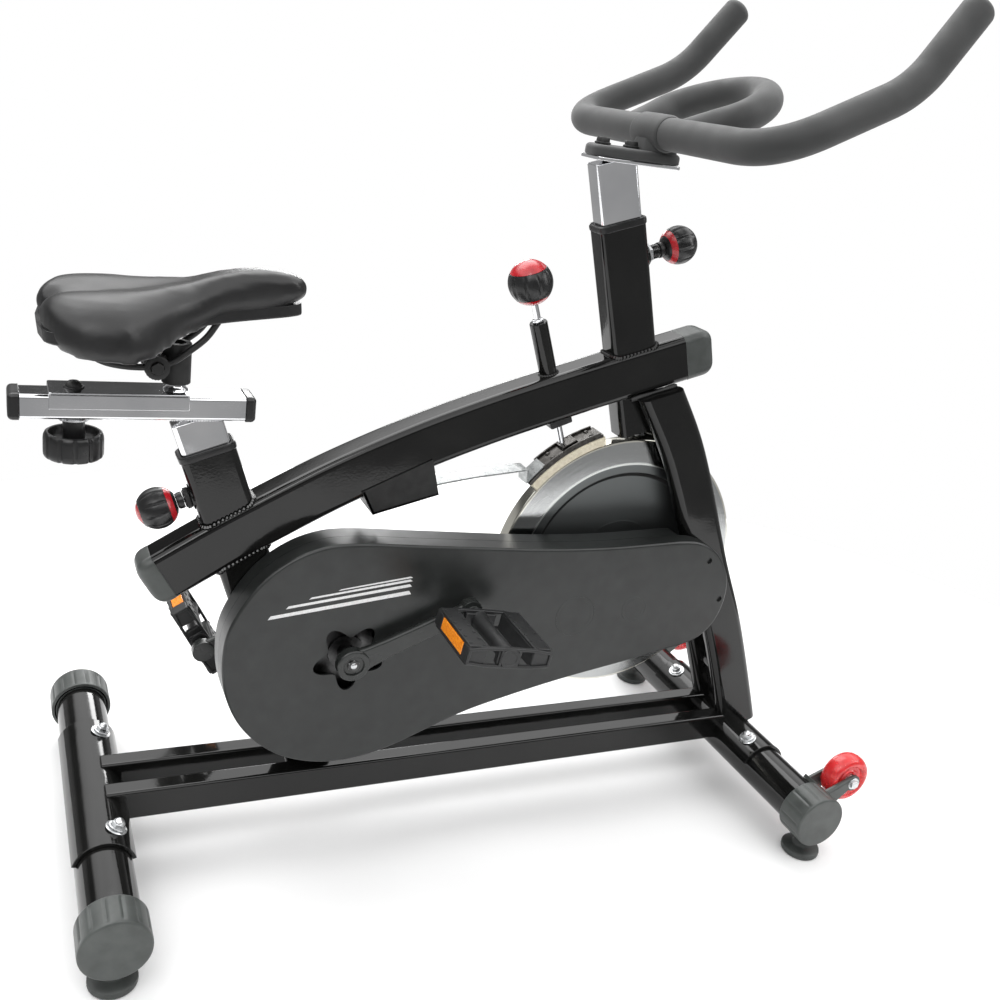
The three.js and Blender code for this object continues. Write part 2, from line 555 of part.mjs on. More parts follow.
// the same outline drawn in by a distance along its own normals
function inset(points, d) {
  return points.map((p, i) => {
    const a = points[(i + points.length - 1) % points.length];
    const b = points[(i + 1) % points.length];
    const t = new THREE.Vector2(b[0] - a[0], b[1] - a[1]).normalize();
    return [p[0] + t.y * d, p[1] - t.x * d];
  });
}
const innerLine = inset(coverLine, COVER.wall);
const lobes = Array.from({ length: 5 }, (_, i) => {
  const t = rad(18 + 72 * i);
  return plate(circle(CRANK.x + 30 * Math.cos(t), CRANK.z + 30 * Math.sin(t), 15, 16), -80, -60);
});
const crankHole = union(plate(circle(CRANK.x, CRANK.z, 28, 16), -80, -60), ...lobes);
const coverOuter = plate(coverLine, COVER.face, COVER.split - 8, null, 5)
  .add(plate(coverLine, COVER.split - 14, COVER.split - GAP))
  .subtract(plate(innerLine, COVER.face + 3, COVER.split + 5))
  .subtract(crankHole);
piece("chain_cover_outer", coverOuter, LOOK.shell);

// region in front of the legs' rear faces, kept clear by the inner shell
const legClear = plate([[684, 620], [715, 530], [771, 400], [803, 330], [842, 240], [842, 100], [1000, 100], [1000, 620]],
  -60, 60);
const coverInner = plate(coverLine, COVER.split, COVER.back)
  .subtract(plate(innerLine, COVER.split - 5, COVER.back - COVER.wall))
  .subtract(plate(circle(CRANK.x, CRANK.z, 26, 20), -60, 0))
  .subtract(plate(circle(axle.x, axle.z, 24, 20), -60, 0))
  .subtract(plate([[600, 100], [600, 60], [900, 60], [900, 100]], -60, 0))
  .subtract(legClear.translate([-40, 0, 0]));
piece("chain_cover_inner", coverInner, LOOK.shell);

// ---- brake -------------------------------------------------------------------

piece("brake_rod", rod(4, along(brakeFoot, brakeUp, -101), along(brakeFoot, brakeUp, 92), 16)
  .add(rod(9, along(brakeFoot, brakeUp, 66.5), along(brakeFoot, brakeUp, 69.5), 18)), LOOK.chrome);

// grip ball with a blind hole for its stem
function gripBall(r, from, direction, centre, bore, boreDepth) {
  const n = 8;
  const profile = [[0, centre - r]];
  for (let i = 1; i < n; i++) {
    const t = -90 + (180 * i) / n;
    profile.push([r * Math.cos(rad(t)), centre + r * Math.sin(rad(t))]);
  }
  profile.push([0, centre + r]);
  const body = revolve(profile, from, direction, 18);
  return body.subtract(rod(bore, along(from, direction, centre - r - 5), along(from, direction, centre - r + boreDepth), 16));
}
const knobCentre = 114;
piece("brake_knob", gripBall(KNOB_R, brakeFoot, brakeUp, knobCentre, 4.1, 8), LOOK.black);

// U-shaped bracket under the beam, and the leaf that hangs the pad from it
const bracketOuter = plate([[287, 466], [371, 506], [384, 461], [303, 437]], -24.5, 24.5);
const bracketInner = plate([[283, 470], [383, 517], [393, 468.1], [304, 441.5]], -21.5, 21.5);
piece("brake_bracket", bracketOuter.subtract(bracketInner).subtract(beamBody(GAP)), LOOK.black);

const rim = (angle, r) => [axle.x + r * Math.cos(rad(angle)), axle.z + r * Math.sin(rad(angle))];
const sector = (r0, r1, a0, a1, n) => [
  ...Array.from({ length: n + 1 }, (_, i) => rim(a0 + ((a1 - a0) * i) / n, r0)),
  ...Array.from({ length: n + 1 }, (_, i) => rim(a1 - ((a1 - a0) * i) / n, r1)),
];
const feltIn = R + PAD.gap;
const feltOut = feltIn + PAD.felt;
const plateOut = feltOut + GAP + PAD.plate;
piece("brake_pad", plate(sector(feltIn, feltOut, PAD.start, PAD.end, 8), -PAD.half, PAD.half), LOOK.felt);
piece("pad_holder", plate(sector(feltOut + GAP, plateOut, PAD.start + 1, PAD.end, 8), -PAD.half, PAD.half)
  .add(plate([rim(118, plateOut - 2), rim(124, plateOut - 2), rim(124, plateOut + 4.5), rim(118, plateOut + 4.5)], -9, 9)),
  LOOK.zinc);
const leafTip = rim(PAD.end - 9, plateOut + 1);
const leafEdge = rim(PAD.end + 0.2, plateOut + 1);
piece("brake_leaf", plate([
  [316, 448.4], [384, 468.2], [440, 478], leafEdge, leafTip,
  rim(PAD.end - 9, plateOut + 2.6), [leafEdge[0] - 1, leafEdge[1] + 1.8], [440, 479.8], [383.6, 470], [315.4, 450.2],
], -13, 13), LOOK.zinc);

// ---- seat post, slide, saddle ---------------------------------------------------

const postOutline = roundedOutline(POST.wide, POST.deep, POST.corner);
const postBore = roundedOutline(POST.wide - 2 * POST.wall, POST.deep - 2 * POST.wall, 3);
const seatPostTop = along(seatMouth, seatUp, 34 / seatUp.z);
let seatPost = prism(postOutline, along(seatMouth, seatUp, -250), along(seatPostTop, seatUp, 6), ACROSS, postBore);
for (let s = -50 - 5 * HOLE_PITCH; s <= -50 + HOLE_PITCH; s += HOLE_PITCH) {
  const c = along(along(seatMouth, seatUp, s), seatOut, 10);
  seatPost = seatPost.subtract(rod(4.6, c, along(c, seatOut, 30), 8));
}
const slideMid = (SLIDE.low + SLIDE.high) / 2;
const slideHigh = SLIDE.high - SLIDE.low;
const slideTube = prism(roundedOutline(2 * SLIDE.half, slideHigh, 3, 2),
  V(SLIDE.rear, 0, slideMid), V(SLIDE.front, 0, slideMid), ACROSS,
  roundedOutline(2 * SLIDE.half - 2 * SLIDE.wall, slideHigh - 2 * SLIDE.wall, 1.5, 2));
const slot = box(SLIDE_BOLT_X - 38, SLIDE_BOLT_X + 38, -5.5, 5.5, 500, 600);
const aboveSlide = box(-200, 300, -100, 100, SLIDE.low + 1.5, 700);
piece("seat_post", seatPost.subtract(aboveSlide).add(slideTube).subtract(slot), LOOK.chrome);

for (const [x, step, tag] of [[SLIDE.rear, -1, "rear"], [SLIDE.front, 1, "front"]]) {
  const lid = prism(roundedOutline(2 * SLIDE.half + 3, slideHigh + 3, 4, 3),
    V(x + step * GAP, 0, slideMid), V(x + step * 11, 0, slideMid), ACROSS, null, 2);
  const plug = prism(roundedOutline(2 * SLIDE.half - 6, slideHigh - 6, 2, 2),
    V(x - step * 12, 0, slideMid), V(x + step * 4, 0, slideMid), ACROSS);
  piece(`slide_cap_${tag}`, lid.add(plug), LOOK.black);
}

// carriage: a channel over the slide, with the saddle pin and the clamp bolt fixed in it
const topPlate = SLIDE.high + GAP;
const carriage = box(CARRIAGE.rear, CARRIAGE.front, -SLIDE.half - GAP - CARRIAGE.wall, SLIDE.half + GAP + CARRIAGE.wall,
  CARRIAGE.lip, topPlate + CARRIAGE.wall)
  .subtract(box(CARRIAGE.rear - 5, CARRIAGE.front + 5, -SLIDE.half - GAP, SLIDE.half + GAP, 500, topPlate))
  .add(revolve([[0, 0], [13, 0], [9.2, 4], [9.2, 44], [8, 45.4], [0, 45.4]],
    V(SADDLE_PIN_X, 0, topPlate + CARRIAGE.wall - 0.5), V(0, 0, 1), 18))
  .add(revolve([[0, 514], [4, 514], [4, 579], [10.5, 579], [10.5, 581], [8.5, 584], [4, 586], [0, 586.4]],
    V(SLIDE_BOLT_X, 0, 0), V(0, 0, 1), 16));
piece("slide_carriage", carriage, LOOK.chrome);

// cup-shaped hand knob below the slide, with soft lobes
const lobed = Array.from({ length: 30 }, (_, i) => {
  const t = (2 * Math.PI * i) / 30;
  return new THREE.Vector2(1, 0).rotateAround(new THREE.Vector2(0, 0), t).multiplyScalar(28 + 1.9 * Math.cos(6 * t));
});
const knobCup = prism(lobed, V(SLIDE_BOLT_X, 0, 504), V(SLIDE_BOLT_X, 0, 534), V(1, 0, 0), null, 4)
  .subtract(revolve([[0, -1], [19, -1], [16, 12], [0, 12]], V(SLIDE_BOLT_X, 0, 504), V(0, 0, 1), 16))
  .add(revolve([[0, 0], [16, 0], [12, 4], [12, 14], [15, 14.2], [15, 15.6], [0, 15.6]],
    V(SLIDE_BOLT_X, 0, 533.4), V(0, 0, 1), 16))
  .subtract(rod(4.1, V(SLIDE_BOLT_X, 0, 505), V(SLIDE_BOLT_X, 0, 560), 16));
piece("slide_knob", knobCup, LOOK.black);

// saddle clamp on the pin, with the cross bolt's barrel behind it
const [tiltX, tiltZ] = TILT_AXIS;
const clamp = rod(15, V(SADDLE_PIN_X, 0, 587), V(SADDLE_PIN_X, 0, 631), 20)
  .add(box(tiltX, SADDLE_PIN_X, -9, 9, 600, 618))
  .add(rod(11, V(tiltX, -16, tiltZ), V(tiltX, 16, tiltZ), 16))
  .subtract(rod(9.3, V(SADDLE_PIN_X, 0, 570), V(SADDLE_PIN_X, 0, 650), 18))
  .subtract(rod(4.1, V(tiltX, -40, tiltZ), V(tiltX, 40, tiltZ), 18));
piece("saddle_clamp", clamp, LOOK.black);

// saddle frame: two bent wires joined by the clamp's outer cheeks and cross bolt
const baseSlope = 0.114; // rise of the saddle base towards the nose
const baseLow = (x) => 644 + baseSlope * x;
let wires = rod(4, V(tiltX, -26, tiltZ), V(tiltX, 26, tiltZ), 18);
for (const side of [-1, 1]) {
  const route = [
    [-34, 34, baseLow(-34) - 0.6], [-22, 32, 632], [-4, 29, 617], [20, 25, 610], [tiltX, 22, 609.5],
    [68, 21, 614], [86, 20, 627], [102, 19, 641], [114, 18.5, baseLow(114) - 0.6],
  ].map(([x, y, z]) => V(x, side * y, z));
  wires = wires
    .add(solid(new THREE.ExtrudeGeometry(shapeOf(roundOutline(3.5, 6)), {
      steps: 16,
      bevelEnabled: false,
      extrudePath: new THREE.CatmullRomCurve3(route, false, "centripetal"),
    })))
    .add(rod(13, V(tiltX, side * (16 + GAP), tiltZ), V(tiltX, side * 28, tiltZ), 16));
}
wires = wires.subtract(prism([[-200, -200], [300, -200], [300, 200], [-200, 200]].map((p) => new THREE.Vector2(...p)),
  V(0, 0, baseLow(0) - GAP), V(-baseSlope * 60, 0, baseLow(0) - GAP + 60), V(1, 0, baseSlope)));
piece("saddle_rails", wires, LOOK.steel);

// half widths of the saddle from tail to nose
const saddlePlan = [
  [-66, 0], [-63, 34], [-56, 60], [-44, 80], [-28, 93], [-6, 98], [16, 95], [38, 82], [58, 66], [78, 51],
  [100, 39], [125, 32], [150, 28.5], [175, 26], [193, 23], [205, 17], [211, 10], [214, 0],
];
function lookup(table, x, column = 1) {
  for (let i = 1; i < table.length; i++) {
    if (x <= table[i][0]) {
      const [a, b] = [table[i - 1], table[i]];
      return a[column] + ((b[column] - a[column]) * (x - a[0])) / (b[0] - a[0]);
    }
  }
  return table[table.length - 1][column];
}
const planRing = (shrink, rear = -58) => {
  const half = saddlePlan.filter(([x]) => x > rear && x < 206).map(([x, w]) => new THREE.Vector2(x, Math.max(w - shrink, 4)));
  return [...half, ...half.map((p) => new THREE.Vector2(p.x, -p.y)).reverse()];
};
const tiltUp = V(-baseSlope, 0, 1).normalize();
const onBase = (s) => V(0, 0, baseLow(0)).addScaledVector(tiltUp, s);
const noseWay = V(1, 0, baseSlope).normalize();
const basePlate = prism(planRing(9, -50), onBase(14), onBase(0), noseWay);
piece("saddle_base", basePlate, LOOK.black);

// cushion: rounded sections along its length; columns are x, top and bottom height
const saddleSide = [
  [-66, 662, 662], [-60, 672, 645], [-45, 680, 619], [-30, 684, 610], [0, 687, 603], [30, 689, 604], [45, 690.5, 613],
  [60, 693, 623], [75, 695.5, 635], [90, 698, 642], [105, 702.5, 650], [120, 707, 659], [150, 713, 665], [180, 716, 673],
  [200, 713, 680], [210, 706, 686], [214, 697, 697],
];
const cushion = new THREE.SphereGeometry(1, 20, 16).rotateZ(Math.PI / 2);
const corner = (v) => Math.sign(v) * Math.abs(v) ** 0.72;
const shaped = cushion.attributes.position;
for (let i = 0; i < shaped.count; i++) {
  const x = 74 - 140 * shaped.getX(i);
  const ring = Math.hypot(shaped.getY(i), shaped.getZ(i));
  const [c, s] = ring < 1e-6 ? [0, 0] : [shaped.getY(i) / ring, shaped.getZ(i) / ring];
  const top = lookup(saddleSide, x, 1), low = lookup(saddleSide, x, 2);
  const round = ring < 1e-6 ? 0 : 1;
  shaped.setXYZ(i, x, round * lookup(saddlePlan, x) * corner(c), (top + low) / 2 + (round * corner(s) * (top - low)) / 2);
}
const pad = solid(cushion).subtract(prism(planRing(8), onBase(14.6), onBase(-60), noseWay));
piece("saddle_pad", pad, LOOK.vinyl);

// ---- handlebar ---------------------------------------------------------------------

const flangeLow = 866;
let barPost = prism(postOutline, along(barMouth, barUp, -190), along(barMouth, barUp, 90), ACROSS, postBore)
  .subtract(box(300, 900, -100, 100, flangeLow + 1, 1000));
for (let s = -47 - 5 * HOLE_PITCH; s <= -47 + HOLE_PITCH; s += HOLE_PITCH) {
  const c = along(along(barMouth, barUp, s), barOut, 10);
  barPost = barPost.subtract(rod(4.6, c, along(c, barOut, 30), 8));
}
const FLANGE = { rear: 524, front: 640, half: 27 };
const flange = (x0, x1, z0, z1) =>
  prism(roundedOutline(2 * FLANGE.half, x1 - x0, 8, 3), V((x0 + x1) / 2, 0, z0), V((x0 + x1) / 2, 0, z1), ACROSS);
piece("bar_post", barPost.add(flange(FLANGE.rear + 2, FLANGE.front - 4, flangeLow, flangeLow + 4)), LOOK.chrome);

// polyline with its inner corners rounded, as a curve path
function rounded(points, radius) {
  const path = new THREE.CurvePath();
  let start = points[0];
  for (let i = 1; i < points.length - 1; i++) {
    const [a, b, c] = [points[i - 1], points[i], points[i + 1]];
    const before = along(b, a.clone().sub(b).normalize(), radius[i - 1]);
    const after = along(b, c.clone().sub(b).normalize(), radius[i - 1]);
    path.add(new THREE.LineCurve3(start, before));
    path.add(new THREE.QuadraticBezierCurve3(before, b, after));
    start = after;
  }
  path.add(new THREE.LineCurve3(start, points[points.length - 1]));
  return path;
}
// evenly stepped tube of round section along a curve path
function bentTube(path, r, steps, sides) {
  const points = path.getSpacedPoints(steps);
  return solid(new THREE.ExtrudeGeometry(shapeOf(roundOutline(r, sides)), {
    steps,
    bevelEnabled: false,
    extrudePath: new THREE.CatmullRomCurve3(points, false, "centripetal"),
  }));
}
const CROSS = { x: 609, z: 904, y: 223 };
const horn = (side) => [V(833, side * 214, 1069), V(771, side * 220, 984), V(CROSS.x, side * CROSS.y, CROSS.z)];
const barPath = rounded([...horn(-1), ...horn(1).reverse()], [30, 62, 62, 30]);
const loopWay = V(57.5, 0, 27.2).normalize();
const loopEnd = V(CROSS.x, 0, CROSS.z).addScaledVector(loopWay, 64);
const loop = [V(CROSS.x, -57, CROSS.z), V(CROSS.x + 29, -65, CROSS.z + 13.6)];
for (let i = 0; i <= 10; i++) {
  const t = Math.PI * (i / 10 - 0.5);
  loop.push(along(loopEnd, loopWay, 75 * Math.cos(t)).add(V(0, 75 * Math.sin(t), 0)));
}
loop.push(V(CROSS.x + 29, 65, CROSS.z + 13.6), V(CROSS.x, 57, CROSS.z));
const loopTube = solid(new THREE.ExtrudeGeometry(shapeOf(roundOutline(BAR_TUBE_R, 12)), {
  steps: 14,
  bevelEnabled: false,
  extrudePath: new THREE.CatmullRomCurve3(loop, false, "centripetal"),
}));
const mountLow = flangeLow + 4 + GAP;
const cradle = flange(FLANGE.rear, FLANGE.front, mountLow, mountLow + 12)
  .add(box(CROSS.x - 20, CROSS.x + 22, -24, 24, mountLow + 4, CROSS.z));
let bar = bentTube(barPath, BAR_TUBE_R, 36, 12).add(loopTube).add(cradle)
  .add(ball(BAR_TUBE_R - 0.02, V(833, -214, 1069), 12))
  .add(ball(BAR_TUBE_R - 0.02, V(833, 214, 1069), 12));
for (const x of [540, 578]) {
  bar = bar.add(revolve([[0, mountLow + 6], [8, mountLow + 6], [8, mountLow + 15], [6, mountLow + 18], [0, mountLow + 18.4]],
    V(x, 0, 0), V(0, 0, 1), 18));
}
piece("handlebar", bar, LOOK.foam);

// ---- spring pins --------------------------------------------------------------------

const PIN_BALL_R = 23.5;
function popPin(name, from, direction, boss) {
  const stem = revolve([
    [0, -3.4], [3.4, -3.4], [3.9, -2.4], [3.9, boss + GAP], [9, boss + GAP], [9, boss + 8], [0, boss + 8],
  ], from, direction, 18);
  const grip = gripBall(PIN_BALL_R, from, direction, boss + 6 + PIN_BALL_R, 1, 0.5);
  piece(name, stem.add(grip), LOOK.black);
}
popPin("seat_pin", pinRoot.seat, seatOut, bossLength.seat);
popPin("bar_pin", pinRoot.bar, barOut, bossLength.bar);

// ---- transport wheels ---------------------------------------------------------------

for (const [side, tag] of [[-1, "right"], [1, "left"]]) {
  const half = WHEEL.half;
  const wheel = new THREE.Mesh(toGeometry(revolve([
    [0, -half - 9], [7, -half - 9], [7, -half - 5.6], [3.9, -half - 5.6], [3.9, -half],
    [WHEEL.radius - 5, -half], [WHEEL.radius, -half + 5], [WHEEL.radius, half - 5], [WHEEL.radius - 5, half],
    [3.9, half], [3.9, half + 5.6], [7, half + 5.6], [7, half + 9], [0, half + 9],
  ], V(0, 0, 0), V(0, 1, 0), 18)), LOOK.wheel);
  wheel.name = `transport_wheel_${tag}`;
  wheel.position.set(WHEEL.x, side * WHEEL.y, WHEEL.z);
  bike.add(wheel);
}

export default group;
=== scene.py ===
import math

import bmesh
import bpy
from mathutils import Matrix, Vector
from mathutils.bvhtree import BVHTree
from mathutils.geometry import tessellate_polygon


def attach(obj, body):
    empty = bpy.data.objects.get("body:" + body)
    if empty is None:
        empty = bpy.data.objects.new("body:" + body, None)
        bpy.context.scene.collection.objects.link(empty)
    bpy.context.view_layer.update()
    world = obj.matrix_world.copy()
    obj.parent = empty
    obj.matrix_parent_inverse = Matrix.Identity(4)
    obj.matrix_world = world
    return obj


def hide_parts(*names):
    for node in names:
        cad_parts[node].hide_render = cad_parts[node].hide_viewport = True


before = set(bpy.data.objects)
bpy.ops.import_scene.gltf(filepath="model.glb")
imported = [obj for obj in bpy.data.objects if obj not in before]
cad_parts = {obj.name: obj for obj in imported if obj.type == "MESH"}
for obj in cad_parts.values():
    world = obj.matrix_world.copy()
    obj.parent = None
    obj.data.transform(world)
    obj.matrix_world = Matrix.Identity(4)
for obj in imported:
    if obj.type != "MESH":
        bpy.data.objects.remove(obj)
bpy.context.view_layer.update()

# Looks for the indoor spin bike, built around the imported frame.
# Shapes are written in millimetres from the rear stabiliser's axis, as in the CAD;
# place() turns them into metres from the middle of the bike. +X front, +Y left, +Z up.

ORIGIN_X = 460.735
AXLE_X, AXLE_Z = 665, 347  # flywheel axle
CRANK_LENGTH = 155
ACROSS = Vector((0, 1, 0))
rad = math.radians


def place(p):
    return Vector(((p[0] - ORIGIN_X) / 1000, p[1] / 1000, p[2] / 1000))


def V(x, y, z):
    return Vector((x, y, z))


# ---- shape helpers -------------------------------------------------------------


class Form:
    """Closed surfaces gathered into one mesh."""

    def __init__(self):
        self.v, self.f = [], []

    def add(self, verts, faces):
        n = len(self.v)
        self.v += [Vector(p) for p in verts]
        self.f += [[n + i for i in face] for face in faces]
        return self


def loft(form, rings, closed=False, caps=True):
    n, m = len(rings[0]), len(rings)
    faces = []
    for i in range(m if closed else m - 1):
        a, b = i * n, ((i + 1) % m) * n
        for j in range(n):
            k = (j + 1) % n
            faces.append([a + j, a + k, b + k, b + j])
    if caps and not closed:
        faces += [list(range(n))[::-1], [(m - 1) * n + j for j in range(n)]]
    return form.add([p for ring in rings for p in ring], faces)


def basis(axis, ref=None):
    z = Vector(axis).normalized()
    ref = Vector(ref) if ref else (ACROSS if abs(z.y) < 0.9 else V(1, 0, 0))
    x = (ref - z * ref.dot(z)).normalized()
    return x, z.cross(x), z


def turn(form, profile, origin, axis, n=64, closed=False, wave=None):
    """profile of [radius, distance along axis]; wave(angle, radius, s) adds to the radius"""
    x, y, z = basis(axis)
    rings = []
    for r, s in profile:
        ring = []
        for j in range(n):
            t = 2 * math.pi * j / n
            q = r + (wave(t, r, s) if wave and r > 0 else 0)
            ring.append(Vector(origin) + z * s + x * (q * math.cos(t)) + y * (q * math.sin(t)))
        rings.append(ring)
    return loft(form, rings, closed, caps=not closed and profile[0][0] > 0)


def rr(a, b, r, steps=6):
    """rounded rectangle, a wide along the first axis and b along the second"""
    pts = []
    for sx, sy, start in ((1, 1, 0), (-1, 1, 90), (-1, -1, 180), (1, -1, 270)):
        for i in range(steps + 1):
            t = rad(start + 90 * i / steps)
            pts.append((sx * (a / 2 - r) + r * math.cos(t), sy * (b / 2 - r) + r * math.sin(t)))
    return pts


def disc(r, n=48, cx=0.0, cy=0.0, start=0.0):
    turns = [rad(start) + 2 * math.pi * i / n for i in range(n)]
    return [(cx + r * math.cos(t), cy + r * math.sin(t)) for t in turns]


def at_y(outline, y):
    """outline of (x, z) points laid in the plane at y"""
    return [V(x, y, z) for x, z in outline]


def section(outline, p, up):
    """outline laid through p, across a tube that points along up"""
    y = up.cross(ACROSS).normalized()
    return [p + ACROSS * u + y * w for u, w in outline]


def groove(t, count, width):
    """depth share of the nearest of count grooves round an axis, at the angle t"""
    phase = (t * count / (2 * math.pi)) % 1
    near = min(phase, 1 - phase)
    return max(0.0, 1 - (near / width) ** 2)


def shrink(outline, d):
    """outline drawn in by d along its own normals"""
    n = len(outline)
    area = sum(outline[i][0] * outline[(i + 1) % n][1] - outline[(i + 1) % n][0] * outline[i][1] for i in range(n))
    sign = 1 if area > 0 else -1
    made = []
    for i, p in enumerate(outline):
        a, b = outline[i - 1], outline[(i + 1) % n]
        tx, ty = b[0] - a[0], b[1] - a[1]
        length = math.hypot(tx, ty) or 1
        made.append((p[0] - sign * ty / length * d, p[1] + sign * tx / length * d))
    return made


def eased(length, soft_a, soft_b, steps=4):
    """(distance, shrink) pairs that round both ends of a slab"""
    rows = []
    for i in range(steps + 1):
        t = rad(90 * i / steps)
        rows.append((soft_a * (1 - math.cos(t)), soft_a * (1 - math.sin(t))))
    tail = []
    for i in range(steps + 1):
        t = rad(90 * i / steps)
        tail.append((length - soft_b * (1 - math.cos(t)), soft_b * (1 - math.sin(t))))
    return rows + tail[::-1]


def slab(form, outline, start, end, across=ACROSS, soft=1.0, soft_end=None):
    """outline carried from start to end with rounded edges"""
    start, end = Vector(start), Vector(end)
    z = (end - start).normalized()
    y = z.cross(Vector(across)).normalized()
    x = y.cross(z)
    rings = []
    for s, d in eased((end - start).length, soft, soft if soft_end is None else soft_end):
        flat = shrink(outline, d) if d > 1e-6 else outline
        rings.append([start + z * s + x * u + y * w for u, w in flat])
    return loft(form, rings)


def plate(form, points, low, high, soft=0.8):
    """outline in the X-Z plane between two heights along Y"""
    return slab(form, points, V(0, high, 0), V(0, low, 0), V(1, 0, 0), soft)


def block(form, x0, x1, y0, y1, z0, z1, soft=1.0, corner=1.5):
    return slab(form, rr(abs(y1 - y0), x1 - x0, corner, 3), V((x0 + x1) / 2, (y0 + y1) / 2, z0),
                V((x0 + x1) / 2, (y0 + y1) / 2, z1), ACROSS, soft)


def spline(points, per=8, closed=False):
    """centripetal Catmull-Rom curve through the points"""
    pts = [Vector(p) for p in points]
    if closed:
        pts = [pts[-1]] + pts + pts[:2]
    else:
        pts = [pts[0] * 2 - pts[1]] + pts + [pts[-1] * 2 - pts[-2]]
    made = []
    for i in range(1, len(pts) - 2):
        p0, p1, p2, p3 = pts[i - 1:i + 3]
        t0 = 0.0
        t1 = t0 + max((p1 - p0).length, 1e-6) ** 0.5
        t2 = t1 + max((p2 - p1).length, 1e-6) ** 0.5
        t3 = t2 + max((p3 - p2).length, 1e-6) ** 0.5
        for k in range(per):
            t = t1 + (t2 - t1) * k / per
            a1 = p0 * ((t1 - t) / (t1 - t0)) + p1 * ((t - t0) / (t1 - t0))
            a2 = p1 * ((t2 - t) / (t2 - t1)) + p2 * ((t - t1) / (t2 - t1))
            a3 = p2 * ((t3 - t) / (t3 - t2)) + p3 * ((t - t2) / (t3 - t2))
            b1 = a1 * ((t2 - t) / (t2 - t0)) + a2 * ((t - t0) / (t2 - t0))
            b2 = a2 * ((t3 - t) / (t3 - t1)) + a3 * ((t - t1) / (t3 - t1))
            made.append(b1 * ((t2 - t) / (t2 - t1)) + b2 * ((t - t1) / (t2 - t1)))
    if not closed:
        made.append(pts[-2])
    return made


def sweep(form, outline, path, across=None):
    """outline carried along a path, its first axis starting near across"""
    path = [Vector(p) for p in path]
    n = len(path)
    tangents = [(path[min(i + 1, n - 1)] - path[max(i - 1, 0)]).normalized() for i in range(n)]
    x = Vector(across) if across else basis(tangents[0])[0]
    rings = []
    for i, p in enumerate(path):
        t = tangents[i]
        x = (x - t * x.dot(t)).normalized()
        y = t.cross(x)
        rings.append([p + x * u + y * w for u, w in outline])
    return loft(form, rings)


def tube(form, points, r, n=24):
    return sweep(form, disc(r, n), points)


def sliced(form, at, normal, open_sheet=False):
    """what lies behind a plane, closed over the cut"""
    mesh = bpy.data.meshes.new("cut")
    mesh.from_pydata(form.v, [], form.f)
    bm = bmesh.new()
    bm.from_mesh(mesh)
    if open_sheet:
        bmesh.ops.remove_doubles(bm, verts=bm.verts, dist=1e-3)
    got = bmesh.ops.bisect_plane(bm, geom=bm.verts[:] + bm.edges[:] + bm.faces[:], plane_co=at,
                                 plane_no=normal, clear_outer=True)
    edges = [e for e in got["geom_cut"] if isinstance(e, bmesh.types.BMEdge)]
    if open_sheet:
        bmesh.ops.holes_fill(bm, edges=edges, sides=0)
    else:
        bmesh.ops.edgeloop_fill(bm, edges=edges)
    bm.verts.index_update()
    kept = Form().add([v.co.copy() for v in bm.verts], [[v.index for v in face.verts] for face in bm.faces])
    bm.free()
    return kept


def dome(form, r, centre, axis, n=32, flat=1.0, steps=8):
    """half ball whose pole points along axis"""
    profile = [(r * math.cos(rad(90 * i / steps)),
            flat * r * math.sin(rad(90 * i / steps))) for i in range(steps)]
    return turn(form, [(0, 0)] + profile + [(0, flat * r)], centre, axis, n)


def rod(form, r, a, b, n=32, soft=0.6):
    a, b = Vector(a), Vector(b)
    length = (b - a).length
    return turn(form, [(0, 0), (r - soft, 0), (r - soft * 0.3, soft * 0.3), (r, soft), (r, length - soft),
                       (r - soft * 0.3, length - soft * 0.3), (r - soft, length), (0, length)], a, b - a, n)


def hexagon(form, across_flats, a, b, soft=0.7):
    return slab(form, disc(across_flats / math.sqrt(3), 6, start=30), a, b, basis(Vector(b) - Vector(a))[0],
            soft)


def to_mesh(name, form, sharp=34):
    mesh = bpy.data.meshes.new(name)
    mesh.from_pydata([place(p) for p in form.v], [], form.f)
    bm = bmesh.new()
    bm.from_mesh(mesh)
    bmesh.ops.remove_doubles(bm, verts=bm.verts, dist=4e-6)
    bmesh.ops.dissolve_degenerate(bm, edges=bm.edges, dist=1e-7)
    bmesh.ops.recalc_face_normals(bm, faces=bm.faces)
    for face in bm.faces:
        face.smooth = True
    for edge in bm.edges:
        if len(edge.link_faces) == 2 and edge.calc_face_angle(0) > rad(sharp):
            edge.smooth = False
    bm.to_mesh(mesh)
    bm.free()
    return mesh


def piece(name, form, look, body="frame", stands=(), sharp=34, weighted=True):
    obj = bpy.data.objects.new(name, to_mesh(name, form, sharp))
    bpy.context.scene.collection.objects.link(obj)
    obj.data.materials.append(look.mat)
    if weighted:
        mod = obj.modifiers.new("normals", "WEIGHTED_NORMAL")
        mod.keep_sharp = True
        mod.weight = 80
    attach(obj, body)
    if stands:
        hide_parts(*([stands] if isinstance(stands, str) else stands))
    return obj


# ---- materials -----------------------------------------------------------------


